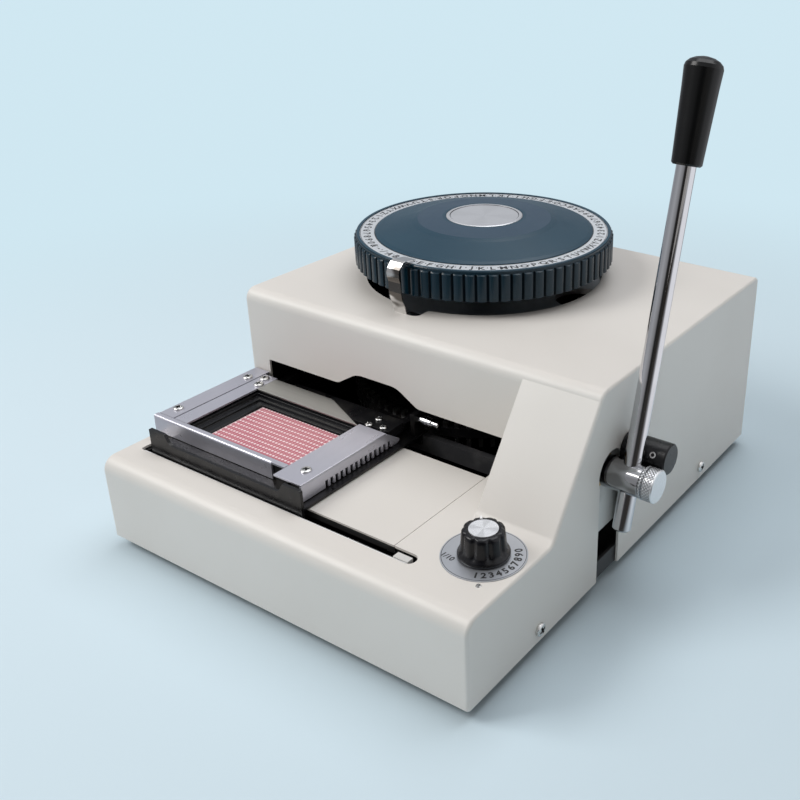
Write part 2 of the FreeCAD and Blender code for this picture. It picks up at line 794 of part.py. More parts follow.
def make_saddle():
    """Return the carriage's black bed with its front wall, which dips into the front slot."""
    wall = outline(
        [
            (BED_X0, BASE_Z + WALL_LOW_H, 2),
            (BED_X0, FRAME_Z1 + 0.4, 1),
            (BED_X0 + EAR_W, FRAME_Z1 + 0.4, 1),
            (BED_X0 + EAR_W + 4, BASE_Z + WALL_CUT_H, 5),
            (BED_X1 - EAR_W - 4, BASE_Z + WALL_CUT_H, 5),
            (BED_X1 - EAR_W, FRAME_Z1 + 0.4, 1),
            (BED_X1, FRAME_Z1 + 0.4, 1),
            (BED_X1, BASE_Z + WALL_LOW_H, 2),
        ],
        on_xz(WALL_Y),
    )
    front = slab(wall, (0, WALL_T, 0))
    bed = box(BED_REAR_X0, BED_X1, WALL_Y, BED_REAR_Y, BED_Z, BED_Z + BED_T)
    wing = box(RISER_X0, BED_REAR_X0 + 1, LIP_Y, STRIP_BACK_Y - 3, BED_Z, BED_Z + BED_T)
    riser_y1 = LIP_Y + SHEET_T + RISER_T
    riser = box(RISER_X0, STRIP_X1, LIP_Y + SHEET_T, STRIP_BACK_Y - 3, BED_Z, SHEET_Z)
    bar = box(RISER_X0, WINDOW_X1, LIP_Y + SHEET_T, riser_y1, BED_Z, SHEET_Z)
    well = box(30, 118, 46, 126, BED_Z - 1, BED_Z + BED_T + 1)
    keel = box(BED_REAR_X0, BED_X1, RAIL_Y - SLIDE_GAP - 2, RAIL_Y - SLIDE_GAP, BED_Z - 6, BED_Z)
    post_x = FRAME_X1 + 2 * SLIDE_GAP
    post = box(post_x, BED_X1 - 1, PIN_Y - 5, PIN_Y + 5, BED_Z, BASE_Z + PIN_H + 5)
    return fuse([front, bed, wing, riser, bar, keel, post]).cut(well)


def make_guides():
    """Return the two row guides, which reach back between the type wheels."""
    front = LIP_Y + SHEET_T + RISER_T
    rear = SEAT_Y1 + ROW_TRAVEL + 3
    guides = []
    for x in (GUIDE_LEFT_X, GUIDE_RIGHT_X):
        guides.append(box(x, x + GUIDE_W, front, rear, GUIDE_Z, GUIDE_Z + GUIDE_H))
    return guides


def make_outer_strip():
    """Return the outer left strip with its bent-down side."""
    section = outline(
        [
            (STRIP_X0, FRAME_Z0, 0),
            (STRIP_X0, FRAME_Z1, 1.4),
            (STRIP_X1, FRAME_Z1, 0),
            (STRIP_X1, SHEET_Z, 0),
            (STRIP_X0 + SHEET_T, SHEET_Z, 0),
            (STRIP_X0 + SHEET_T, FRAME_Z0, 0),
        ],
        on_xz(WINDOW_Y0),
    )
    return slab(section, (0, STRIP_BACK_Y - WINDOW_Y0, 0))


def make_front_angle():
    """Return the front bar with its bent-down lip."""
    back = WINDOW_Y0 - 0.3
    section = outline(
        [
            (LIP_Y, FRAME_Z0, 0),
            (LIP_Y, FRAME_Z1, 1.6),
            (back, FRAME_Z1, 0),
            (back, SHEET_Z, 0),
            (LIP_Y + SHEET_T, SHEET_Z, 0),
            (LIP_Y + SHEET_T, FRAME_Z0, 0),
        ],
        on_yz(STRIP_X0),
    )
    lip = slab(section, (LIP_X1 - STRIP_X0, 0, 0))
    top = box(LIP_X1, WINDOW_X1 - 0.3, LIP_Y, back, SHEET_Z, FRAME_Z1)
    return fuse([lip, top])


def make_seat():
    """Return the black card seat: stepped walls round an open middle, on two grooves."""
    y0 = LIP_Y + SHEET_T + RISER_T + SLIDE_GAP
    body = box(INNER_X0, FRAME_X1 - COMB_T, y0, SEAT_Y1, FRAME_Z0, SHEET_Z)
    lowered = box(0, WINDOW_X1, 0, WINDOW_Y0 + 1, SHEET_Z - SLIDE_GAP, SHEET_Z + 1)
    mid_x = (WINDOW_X0 + WINDOW_X1) / 2
    mid_y = (WINDOW_Y0 + WINDOW_Y1) / 2
    half_w, half_d = CARD_W / 2 + 0.2, CARD_D / 2 + 0.2
    top = box(WINDOW_X0, WINDOW_X1, WINDOW_Y0, WINDOW_Y1, CARD_Z + 3.2, SHEET_Z + 1)
    pocket = box(mid_x - half_w, mid_x + half_w, mid_y - half_d, mid_y + half_d, CARD_Z, SHEET_Z)
    hole_w, hole_d = half_w - CARD_LEDGE, half_d - CARD_LEDGE
    hole = box(mid_x - hole_w, mid_x + hole_w, mid_y - hole_d, mid_y + hole_d, FRAME_Z0 - 1, SHEET_Z)
    grooves = []
    for x in (GUIDE_LEFT_X, GUIDE_RIGHT_X):
        groove_top = GUIDE_Z + GUIDE_H + SLIDE_GAP
        grooves.append(box(x - SLIDE_GAP, x + GUIDE_W + SLIDE_GAP, 0, COVER_D, FRAME_Z0 - 1, groove_top))
    return body.cut([lowered, top, pocket, hole] + grooves)


def make_position_card():
    """Return the card that shows rows and columns, lying on the seat's ledge."""
    mid_x = (WINDOW_X0 + WINDOW_X1) / 2
    mid_y = (WINDOW_Y0 + WINDOW_Y1) / 2
    x0, x1 = mid_x - CARD_W / 2, mid_x + CARD_W / 2
    y0, y1 = mid_y - CARD_D / 2, mid_y + CARD_D / 2
    corners = [(x0, y0, 3.18), (x0, y1, 3.18), (x1, y1, 3.18), (x1, y0, 3.18)]
    return slab(outline(corners, on_xy(CARD_Z)), (0, 0, CARD_T))


def make_inner_bar():
    """Return the inner left bar of the card frame."""
    return box(INNER_X0, WINDOW_X0, WINDOW_Y0, FRAME_Y1, SHEET_Z, FRAME_Z1)


def comb_cut():
    """Return the tools that cut one notch for each row into the comb's lower edge."""
    first = COMB_MID_Y - ROW_PITCH * (ROWS - 1) / 2
    x0, x1 = FRAME_X1 - COMB_T - 1, FRAME_X1 + 1
    notches = []
    for row in range(ROWS):
        y = first + row * ROW_PITCH - NOTCH_W / 2
        notches.append(box(x0, x1, y, y + NOTCH_W, FRAME_Z0 - 1, FRAME_Z0 + NOTCH_H))
    return notches


def make_comb_angle():
    """Return the right bar with the comb of row notches on its bent-down side."""
    top = box(WINDOW_X1, FRAME_X1, FRAME_Y0, FRAME_Y1 - 2, SHEET_Z, FRAME_Z1)
    comb = box(FRAME_X1 - COMB_T, FRAME_X1, FRAME_Y0, FRAME_Y1, FRAME_Z0, FRAME_Z1)
    return fuse([top, comb]).cut(comb_cut())


def make_back_plate():
    """Return the matte plate behind the window, with its right end cut off at a slant."""
    corners = [
        (WINDOW_X0, WINDOW_Y1 + 0.2, 0),
        (WINDOW_X0, FRAME_Y1, 0),
        (WINDOW_X1 - 16, FRAME_Y1, 3),
        (WINDOW_X1 - 0.3, WINDOW_Y1 + 4, 1),
        (WINDOW_X1 - 0.3, WINDOW_Y1 + 0.2, 0),
    ]
    return slab(outline(corners, on_xy(SHEET_Z)), (0, 0, SHEET_T))


def make_bracket_plate():
    """Return the black plate behind the window that ties the seat to its rear slider."""
    z0 = GUIDE_Z + GUIDE_H + SLIDE_GAP
    corners = [
        (WINDOW_X1 - 14, SEAT_Y1, 0),
        (WINDOW_X1 - 14, FRAME_Y1 + 4, 3),
        (FRAME_X1 - 4, FRAME_Y1 + 4, 3),
        (FRAME_X1 - 4, SEAT_Y1, 0),
    ]
    return slab(outline(corners, on_xy(z0)), (0, 0, SHEET_Z - z0))


def make_release_pin():
    """Return the bright two-step pin at the carriage's back corner."""
    points = [(0, 0), (2.6, 0), (2.6, 3.8), (3.4, 3.8), (3.4, 11), (2.6, 11), (2.6, 16)]
    points += [(2.0, 16.6), (0, 16.6)]
    return turned_about(points, (BED_X1 - 1, PIN_Y, BASE_Z + PIN_H), (1, 0, 0))


def make_guide_rod():
    """Return the round front rod on which the carriage slides."""
    z = BASE_Z + ROD_H
    return rod(ROD_R, (6.5, ROD_Y, z), (268, ROD_Y, z))


def make_rod_brackets():
    """Return the two brackets that carry the front rod and the column rack."""
    z = BASE_Z + ROD_H
    face = RACK_Y + RACK_T
    brackets = []
    for x in (6.5, 262.0):
        corners = [
            (face, FLOOR_TOP_Z, 0),
            (face, BASE_Z + RACK_TOP_H, 0),
            (face + 5, BASE_Z + RACK_TOP_H, 1),
            (face + 6, z + 7, 1),
            (ROD_Y + 8, z + 7, 3),
            (ROD_Y + 14, FLOOR_TOP_Z, 0),
        ]
        cheek = slab(outline(corners, on_yz(x)), (6, 0, 0))
        brackets.append(cheek.cut(rod(ROD_R, (x - 1, ROD_Y, z), (x + 8, ROD_Y, z))))
    return brackets


def make_column_rack():
    """Return the thin rack strip that lies along the front slot."""
    low = BASE_Z + RACK_LOW_H
    strip = box(6.5, 268, RACK_Y, RACK_Y + RACK_T, low, BASE_Z + RACK_TOP_H)
    teeth = []
    for index in range(RACK_TEETH):
        x = WINDOW_X1 + (index - 0.5) * COLUMN_PITCH * 2
        teeth.append(box(x - COLUMN_PITCH * 0.5, x + COLUMN_PITCH * 0.5, RACK_Y - 1, RACK_Y + RACK_T + 1, low - 1, low + 2))
    return strip.cut(teeth)


def make_stop_block():
    """Return the white end stop of the carriage, fixed to the rack."""
    x0 = BED_X1 + COLUMN_TRAVEL + 0.2
    y0 = RACK_Y + RACK_T
    return box(x0, x0 + STOP_BLOCK_W, y0, STOP_BLOCK_Y1, BASE_Z + RACK_LOW_H + 3, BASE_Z + RACK_TOP_H + 1)


def make_slide_bushes():
    """Return the carriage's two bearing blocks on the front rod."""
    z = BASE_Z + ROD_H
    blocks = []
    for x in (BED_X0 + 12, BED_X1 - 12 - BUSH_L):
        body = box(x, x + BUSH_L, WALL_Y + WALL_T, ROD_Y + 7, z - 7, z + 7)
        blocks.append(body.cut(rod(ROD_R + ROD_FIT, (x - 1, ROD_Y, z), (x + BUSH_L + 1, ROD_Y, z))))
    return blocks


def make_rear_rail():
    """Return the black rear rail that carries the carriage's bed."""
    x0 = LEFT_PLATE_X + PLATE_T
    return box(x0, RAIL_X1, RAIL_Y, RAIL_Y + RAIL_T, BASE_Z + RAIL_LOW_H, BED_Z - 0.2)


def make_rail_post():
    """Return the bracket under the rail's right end; it stands clear of the lower arm."""
    x0, x1 = RAIL_X1 - 10, RAIL_X1 - 2
    y0, y1 = RAIL_Y - 10, RAIL_Y - 2
    low = BASE_Z + RAIL_LOW_H
    post = box(x0, x1, y0, y1, FLOOR_TOP_Z, low)
    shelf = box(x0, x1, y0, RAIL_Y + RAIL_T, low - 4, low)
    foot = box(x0, x1, y0 - 14, y1, FLOOR_TOP_Z, FLOOR_TOP_Z + 3)
    return fuse([post, shelf, foot])


def swing_point(y, z, pivot_z, degrees):
    """Return where a point of an arm lies after the arm has swung about its pivot."""
    turn = math.radians(degrees)
    dy, dz = y - PIVOT_Y, z - pivot_z
    return (
        PIVOT_Y + dy * math.cos(turn) - dz * math.sin(turn),
        pivot_z + dy * math.sin(turn) + dz * math.cos(turn),
    )


def follower_rest(upper):
    """Return the height of a follower pin at rest, straight under or over the lever shaft."""
    reach = CAM_BASE_R + FOLLOWER_R + FOLLOWER_GAP
    return LEVER_Z - reach if upper else LEVER_Z + reach


def cam_point(upper, pull):
    """Return the cam's surface point (y, z) that meets the follower when the lever has turned.

    The follower's path is carried back into the cam by the lever's turn, and the surface lies on
    its inner side, one follower radius and one clearance away.
    """
    pivot_z = BASE_Z + (UPPER_PIVOT_H if upper else LOWER_PIVOT_H)
    swing = UPPER_SWING if upper else -LOWER_SWING

    def centre(angle):
        held = min(max(angle, 0.0), LEVER_PULL)
        y, z = swing_point(LEVER_Y, follower_rest(upper), pivot_z, swing * held / LEVER_PULL)
        turn = math.radians(-angle)
        dy, dz = y - LEVER_Y, z - LEVER_Z
        return (dy * math.cos(turn) - dz * math.sin(turn), dy * math.sin(turn) + dz * math.cos(turn))

    (y0, z0), (y1, z1) = centre(pull - 0.5), centre(pull + 0.5)
    y, z = centre(pull)
    length = math.hypot(y1 - y0, z1 - z0)
    normal_y, normal_z = (z1 - z0) / length, -(y1 - y0) / length
    if normal_y * y + normal_z * z > 0:
        normal_y, normal_z = -normal_y, -normal_z
    offset = FOLLOWER_R + FOLLOWER_GAP
    return LEVER_Y + y + normal_y * offset, LEVER_Z + z + normal_z * offset


def make_cam(upper):
    """Return a cam whose follower falls or rises evenly as the lever turns."""
    x = UPPER_CAM_X if upper else LOWER_CAM_X
    steps = [-12, -6, 0, 6, 15, 24, 33, 42, 51, 57, 60, 64, 70]
    points = [Vec(x, *cam_point(upper, step)) for step in steps]
    flank = Part.BSplineCurve()
    flank.interpolate(points)
    centre = Vec(x, LEVER_Y, LEVER_Z)
    start = Part.LineSegment(centre, points[0]).toShape()
    end = Part.LineSegment(points[-1], centre).toShape()
    lobe = slab(Part.Wire([start, flank.toShape(), end]), (CAM_T, 0, 0))
    hub = rod(CAM_HUB_R, (x, LEVER_Y, LEVER_Z), (x + CAM_T, LEVER_Y, LEVER_Z))
    bore = rod(SHAFT_R, (x - 1, LEVER_Y, LEVER_Z), (x + CAM_T + 1, LEVER_Y, LEVER_Z))
    return fuse([hub, lobe]).cut(bore)


def arm_plate(low_z):
    """Return the flat forked plate of a press arm, from its pivot to its nose."""
    rear, nose = ARM_REAR_W / 2, ARM_NOSE_W / 2
    corners = [
        (DIAL_X - rear, PIVOT_Y, 0),
        (DIAL_X + rear, PIVOT_Y, 0),
        (DIAL_X + rear, DIAL_Y - 6, 14),
        (DIAL_X + nose, PRESS_Y + 24, 14),
        (DIAL_X + nose, ARM_NOSE_Y, 10),
        (DIAL_X - nose, ARM_NOSE_Y, 10),
        (DIAL_X - nose, PRESS_Y + 24, 14),
        (DIAL_X - rear, DIAL_Y - 6, 14),
    ]
    plate = slab(outline(corners, on_xy(low_z)), (0, 0, ARM_T))
    return plate.cut(disc(ARM_EYE_R, DIAL_X, DIAL_Y, low_z - 1, low_z + ARM_T + 1))


def arm_boss(pivot_z):
    """Return the barrel of an arm round its pivot pin."""
    half = ARM_REAR_W / 2
    return rod(PIVOT_BOSS_R, (DIAL_X - half, PIVOT_Y, pivot_z), (DIAL_X + half, PIVOT_Y, pivot_z))


def pin_bore(pivot_z, radius):
    """Return the tool for the bore of a pivot pin."""
    half = ARM_REAR_W / 2 + 30
    return rod(radius, (DIAL_X - half, PIVOT_Y, pivot_z), (DIAL_X + half, PIVOT_Y, pivot_z))


def make_upper_arm():
    """Return the upper press arm with its side beam, hanger and spring lug."""
    z = BASE_Z + UPPER_ARM_H
    pivot_z = BASE_Z + UPPER_PIVOT_H
    pin_z = follower_rest(True)
    x0 = HANGER_X
    beam = box(DIAL_X, x0 + HANGER_T, LEVER_Y - 7, LEVER_Y + 7, z, z + ARM_T)
    hanger = box(x0, x0 + HANGER_T, LEVER_Y - 7, LEVER_Y + 7, pin_z - 8, z + ARM_T)
    lug = box(x0, x0 + HANGER_T, SPRING_Y - SPRING_R - 1, LEVER_Y, pin_z - 8, pin_z - 2)
    pad = disc(SPRING_R + 0.6, SPRING_X, SPRING_Y, pin_z - 8, pin_z - 5)
    arm = fuse([arm_plate(z), arm_boss(pivot_z), beam, hanger, lug, pad])
    pin = rod(FOLLOWER_R - 1, (x0 - 1, LEVER_Y, pin_z), (x0 + HANGER_T + 1, LEVER_Y, pin_z))
    return arm.cut([pin_bore(pivot_z, PIVOT_PIN_R + 0.05), pin])


def make_lower_arm():
    """Return the lower press arm with its side beam and its upright round the lever shaft."""
    z = BASE_Z + LOWER_ARM_H
    pivot_z = BASE_Z + LOWER_PIVOT_H
    pin_z = follower_rest(False)
    x1 = UPRIGHT_X + UPRIGHT_T
    beam = box(DIAL_X, x1, LEVER_Y - 7, LEVER_Y + 7, z, z + ARM_T)
    corners = [
        (LEVER_Y - 18, z, 0),
        (LEVER_Y - 18, pin_z + 2, 8),
        (LEVER_Y - 8, pin_z + 8, 4),
        (LEVER_Y + 8, pin_z + 8, 4),
        (LEVER_Y + 18, pin_z + 2, 8),
        (LEVER_Y + 18, z, 0),
    ]
    upright = slab(outline(corners, on_yz(UPRIGHT_X)), (UPRIGHT_T, 0, 0))
    clear = SHAFT_R + 2.5
    drop = DIE_STROKE + 1.5
    eye = outline(
        [
            (LEVER_Y - clear - 1, LEVER_Z - clear - drop, clear - 1),
            (LEVER_Y - clear - 1, LEVER_Z + clear, clear - 1),
            (LEVER_Y + clear + 1, LEVER_Z + clear, clear - 1),
            (LEVER_Y + clear + 1, LEVER_Z - clear - drop, clear - 1),
        ],
        on_yz(UPRIGHT_X - 1),
    )
    arm = fuse([arm_plate(z), arm_boss(pivot_z), beam, upright])
    pin = rod(FOLLOWER_R - 1, (UPRIGHT_X - 1, LEVER_Y, pin_z), (x1 + 1, LEVER_Y, pin_z))
    return arm.cut([pin_bore(pivot_z, PIVOT_PIN_R + 0.05), slab(eye, (UPRIGHT_T + 2, 0, 0)), pin])


def make_ram():
    """Return the hard block under the upper arm's nose."""
    low = BASE_Z + PUNCH_BOTTOM_H + PUNCH_L + RAM_GAP
    high = BASE_Z + UPPER_ARM_H
    half_w, half_d = RAM_W / 2, RAM_D / 2
    tip = box(DIAL_X - half_w, DIAL_X + half_w, PRESS_Y - half_d, PRESS_Y + half_d, low, high)
    foot = box(DIAL_X - 8, DIAL_X + 8, PRESS_Y - 8, PRESS_Y + 8, high - 1.5, high)
    return fuse([tip, foot])


def make_anvil():
    """Return the hard block on the lower arm's nose."""
    high = BASE_Z + DIE_TOP_H - DIE_L - RAM_GAP
    low = BASE_Z + LOWER_ARM_H + ARM_T
    half_w, half_d = RAM_W / 2, RAM_D / 2
    tip = box(DIAL_X - half_w, DIAL_X + half_w, PRESS_Y - half_d, PRESS_Y + half_d, low, high)
    foot = box(DIAL_X - 8, DIAL_X + 8, PRESS_Y - 8, PRESS_Y + 8, low, low + 5)
    return fuse([tip, foot])


def make_follower(upper):
    """Return a follower pin, stepped into its arm."""
    z = follower_rest(upper)
    if upper:
        face = HANGER_X + HANGER_T
        step = rod(FOLLOWER_R - 1, (face - HANGER_T, LEVER_Y, z), (face, LEVER_Y, z))
        return fuse([step, rod(FOLLOWER_R, (face, LEVER_Y, z), (UPPER_CAM_X + CAM_T, LEVER_Y, z))])
    step = rod(FOLLOWER_R - 1, (UPRIGHT_X, LEVER_Y, z), (UPRIGHT_X + UPRIGHT_T, LEVER_Y, z))
    return fuse([step, rod(FOLLOWER_R, (LOWER_CAM_X, LEVER_Y, z), (UPRIGHT_X, LEVER_Y, z))])


def make_pivot_brackets():
    """Return the cheeks of both pivots: two hang from the bridge, two stand on the base."""
    inner = ARM_REAR_W / 2 + SLIDE_GAP
    spans = [
        (BASE_Z + UPPER_PIVOT_H - PIVOT_BOSS_R - 2, PLATE_TOP_Z),
        (FLOOR_TOP_Z, BASE_Z + LOWER_PIVOT_H + PIVOT_BOSS_R + 2),
    ]
    cheeks = []
    for low, high in spans:
        for x in (DIAL_X - inner - 8, DIAL_X + inner):
            cheek = box(x, x + 8, PIVOT_Y - 12, PIVOT_Y + 12, low, high)
            pins = [pin_bore(BASE_Z + h, PIVOT_PIN_R) for h in (UPPER_PIVOT_H, LOWER_PIVOT_H)]
            cheeks.append(cheek.cut(pins))
    return cheeks


def make_pivot_pins():
    """Return the two pivot pins."""
    half = ARM_REAR_W / 2 + SLIDE_GAP + 8
    pins = []
    for height in (UPPER_PIVOT_H, LOWER_PIVOT_H):
        z = BASE_Z + height
        pins.append(rod(PIVOT_PIN_R, (DIAL_X - half, PIVOT_Y, z), (DIAL_X + half, PIVOT_Y, z)))
    return pins


def spring_span():
    """Return the lower and upper end of the return spring."""
    return FLOOR_TOP_Z + 4, follower_rest(True) - 8


def make_return_spring():
    """Return the return spring as a plain sleeve of the coil's size."""
    low, high = spring_span()
    outer = SPRING_R
    inner = SPRING_R - 2 * SPRING_WIRE_R
    points = [(inner, low), (outer, low), (outer, high), (inner, high)]
    return turned(points, SPRING_X, SPRING_Y)


def make_spring_seat():
    """Return the cup on the base that holds the return spring."""
    low = FLOOR_TOP_Z
    inner = SPRING_R - 2 * SPRING_WIRE_R - 0.3
    points = [(0, low), (SPRING_R + 2, low), (SPRING_R + 2, low + 4), (inner, low + 4), (inner, low + 8), (0, low + 8)]
    return turned(points, SPRING_X, SPRING_Y)


def make_lever_bush():
    """Return the long flanged bush of the lever shaft."""
    bore = SHAFT_R + 0.05
    start = UPRIGHT_X + UPRIGHT_T + 1
    flange = RIGHT_PLATE_X - start
    length = flange + PLATE_T
    points = [(bore, 0), (11.5, 0), (11.5, flange - 2), (13.5, flange - 2), (13.5, flange)]
    points += [(11.0, flange), (11.0, length), (bore, length)]
    return turned_about(points, (start, LEVER_Y, LEVER_Z), (1, 0, 0))


def make_lever_shaft():
    """Return the short shaft that carries both cams."""
    return rod(SHAFT_R, (LEVER_SHAFT_X0, LEVER_Y, LEVER_Z), (LEVER_SHAFT_X1, LEVER_Y, LEVER_Z))


def lever_point(distance):
    """Return a point on the lever rod's axis at a distance from the shaft."""
    lean = math.radians(LEVER_LEAN)
    return (LEVER_ROD_X, LEVER_Y + distance * math.sin(lean), LEVER_Z + distance * math.cos(lean))


def lever_axis():
    """Return the direction of the lever rod."""
    lean = math.radians(LEVER_LEAN)
    return (0, math.sin(lean), math.cos(lean))


def make_hub():
    """Return the chrome hub, bored for the shaft and across for the lever rod."""
    points = [(0, 0), (HUB_R - 0.6, 0), (HUB_R, 0.6), (HUB_R, HUB_X1 - HUB_X0 - 0.6)]
    points += [(HUB_R - 0.6, HUB_X1 - HUB_X0), (0, HUB_X1 - HUB_X0)]
    body = turned_about(points, (HUB_X0, LEVER_Y, LEVER_Z), (1, 0, 0))
    bore = rod(SHAFT_R, (HUB_X0 - 1, LEVER_Y, LEVER_Z), (LEVER_SHAFT_X1, LEVER_Y, LEVER_Z))
    cross = rod(LEVER_ROD_R, lever_point(-20), lever_point(20))
    thread = rod(3.0, (HUB_X1 - 3.0, LEVER_Y, LEVER_Z), (HUB_X1 + 1, LEVER_Y, LEVER_Z))
    return body.cut([bore, cross, thread])


def make_hub_cap():
    """Return the knurled end cap with its collar and stud."""
    length = CAP_X1 - HUB_X1
    points = [(0, -3.0), (3.0, -3.0), (3.0, 0), (7.0, 0), (7.0, 0.3), (CAP_R - 0.3, 0.3), (CAP_R, 0.6)]
    points += [(CAP_R, 1.4), (CAP_R - 0.3, 1.7), (7.6, 1.7), (7.6, 2.5), (CAP_R - 0.4, 2.5), (CAP_R, 2.9)]
    points += [(CAP_R, length - 0.6), (CAP_R - 0.6, length), (0, length)]
    return turned_about(points, (HUB_X1, LEVER_Y, LEVER_Z), (1, 0, 0))


def make_lever_rod():
    """Return the chrome lever rod with its rounded lower end."""
    length = LEVER_BELOW + GRIP_START + GRIP_L - 14
    points = [(0, 0), (LEVER_ROD_R - 1, 0), (LEVER_ROD_R, 1), (LEVER_ROD_R, length), (0, length)]
    return turned_about(points, lever_point(-LEVER_BELOW), lever_axis())


def make_grip():
    """Return the tapered black grip with its domed end."""
    neck = GRIP_L - 6
    points = [(LEVER_ROD_R, 0), (GRIP_R0 - 1, 0), (GRIP_R0, 1), (GRIP_R1 - 0.6, neck * 0.8), (GRIP_R1, neck)]
    for step in range(1, 5):
        turn = math.radians(step * 20)
        points.append((GRIP_R1 * math.cos(turn), neck + 6 * math.sin(turn)))
    points += [(0, GRIP_L), (0, GRIP_L - 14), (LEVER_ROD_R, GRIP_L - 14)]
    return turned_about(points, lever_point(GRIP_START), lever_axis())


def make_stop():
    """Return the black sleeve on which the lever rests, with its stud and the nut behind."""
    z = BASE_Z + STOP_H
    start = RIGHT_PLATE_X - 5
    face = COVER_W + 0.3 - start
    length = STOP_X1 - start
    points = [(0, 0), (STOP_STUD_R, 0), (STOP_STUD_R, face), (STOP_R, face), (STOP_R, length - 0.8)]
    points += [(STOP_R - 0.8, length), (0, length)]
    sleeve = turned_about(points, (start, STOP_Y, z), (1, 0, 0))
    nut = rod(5.5, (RIGHT_PLATE_X - 4, STOP_Y, z), (RIGHT_PLATE_X, STOP_Y, z))
    return [sleeve, nut.cut(rod(STOP_STUD_R, (start, STOP_Y, z), (RIGHT_PLATE_X, STOP_Y, z)))]


def make_pointer():
    """Return the bent chrome pointer that stands on the bridge and reaches over the ring."""
    foot_z = PLATE_TOP_Z + 4
    ring_z = BASE_Z + DIAL_RING_H
    bend_z = ring_z - 0.6
    tip_z = ring_z + 2.6
    t = POINTER_T
    y = POINTER_Y
    corners = [
        (y, foot_z, 0),
        (y, bend_z, 1.4),
        (y + 3.6, tip_z, 1.4),
        (y + 9.0, tip_z + 0.4, 0),
        (y + 9.0, tip_z + 0.4 - t, 0),
        (y + 3.9, tip_z - t, 0.6),
        (y + t, bend_z - 0.3, 0.6),
        (y + t, foot_z, 0),
    ]
    half = POINTER_W / 2
    strip = slab(outline(corners, on_yz(POINTER_X - half)), (POINTER_W, 0, 0))
    right = POINTER_SCREW_X + 4
    foot = box(POINTER_X - half, right, y, y + 12.5, foot_z, foot_z + t)
    hole = disc(1.6, POINTER_SCREW_X, POINTER_SCREW_Y, foot_z - 1, foot_z + 2)
    return fuse([strip, foot]).cut(hole)


def make_pointer_screw():
    """Return the screw of the pointer's foot."""
    z = PLATE_TOP_Z + 4 + POINTER_T
    head = screw_head(3.0, 2.0, (POINTER_SCREW_X, POINTER_SCREW_Y, z), (0, 0, 1))
    return fuse([head, disc(1.5, POINTER_SCREW_X, POINTER_SCREW_Y, z - POINTER_T, z)])


def make_label():
    """Return the round label plate under the knob."""
    points = [(5.0, DECK_Z), (LABEL_R, DECK_Z), (LABEL_R, DECK_Z + LABEL_T), (5.0, DECK_Z + LABEL_T)]
    return turned(points, KNOB_X, KNOB_Y)


def make_knob():
    """Return the fluted knob with its skirt."""
    low = DECK_Z + LABEL_T + SLIDE_GAP
    top = DECK_Z + KNOB_H
    points = [(3.0, low), (KNOB_SKIRT_R, low), (KNOB_SKIRT_R, low + 1.2), (KNOB_BODY_R + 0.4, low + 2.6)]
    points += [(KNOB_BODY_R, low + 3.2), (KNOB_TOP_R, top - 1), (KNOB_TOP_R - 1, top)]
    points += [(KNOB_CAP_R, top), (KNOB_CAP_R, top - 0.6), (0, top - 0.6), (0, top - 3), (3.0, top - 3)]
    body = turned(points, KNOB_X, KNOB_Y)
    tools = []
    for index in range(KNOB_FLUTES):
        turn = math.radians((index + 0.5) * 360 / KNOB_FLUTES)
        x = KNOB_X + 17.0 * math.cos(turn)
        y = KNOB_Y + 17.0 * math.sin(turn)
        tools.append(disc(5.6, x, y, low + 3.2, top + 1))
    return body.cut(tools)


def make_knob_cap():
    """Return the bright disc let into the knob's top."""
    top = DECK_Z + KNOB_H
    return disc(KNOB_CAP_R - 0.1, KNOB_X, KNOB_Y, top - 0.6, top + 0.1)


def make_knob_spindle():
    """Return the knob's spindle with the selector cam at its lower end."""
    low = DECK_Z - 20
    shaft = disc(3.0, KNOB_X, KNOB_Y, low, DECK_Z + KNOB_H - 3)
    cam = disc(7.0, KNOB_X + 2.5, KNOB_Y, low, low + 4)
    return fuse([shaft, cam])


def make_spindle_bush():
    """Return the threaded bush and nut that hold the spindle in the deck."""
    low = DECK_Z - COVER_WALL
    points = [(3.05, low - 6), (4.8, low - 6), (4.8, low - 3), (8.0, low - 3), (8.0, low), (4.8, low)]
    points += [(4.8, DECK_Z + LABEL_T), (3.05, DECK_Z + LABEL_T)]
    return turned(points, KNOB_X, KNOB_Y)


def make_index_pin():
    """Return the small index pin on the deck beside the knob."""
    points = [(0, DECK_Z - COVER_WALL), (1.0, DECK_Z - COVER_WALL), (1.0, DECK_Z), (1.6, DECK_Z), (1.2, DECK_Z + 0.6), (0, DECK_Z + 0.6)]
    return turned(points, INDEX_PIN_X, INDEX_PIN_Y)


def top_screws(places, radius, top):
    """Return screw heads that stand on a level face."""
    return [screw_head(radius, 1.4, (x, y, top), (0, 0, 1)) for x, y in places]


def make_strip_screws():
    """Return the two screws of the outer strip."""
    x = (STRIP_X0 + STRIP_X1) / 2
    return top_screws([(x, 54.0), (x, 111.0)], 3.0, FRAME_Z1)


def make_frame_screws():
    """Return the screws on top of the card frame, the three small ones in its free corner."""
    bar_x = (INNER_X0 + WINDOW_X0) / 2
    large = [(bar_x - 1.5, 113.0), (bar_x + 2.4, 106.0), (130.0, 41.0)]
    small = [(110.0, 119.6), (115.6, 115.0), (117.0, 121.4)]
    return top_screws(large, 3.0, FRAME_Z1) + top_screws(small, 2.2, SHEET_Z)


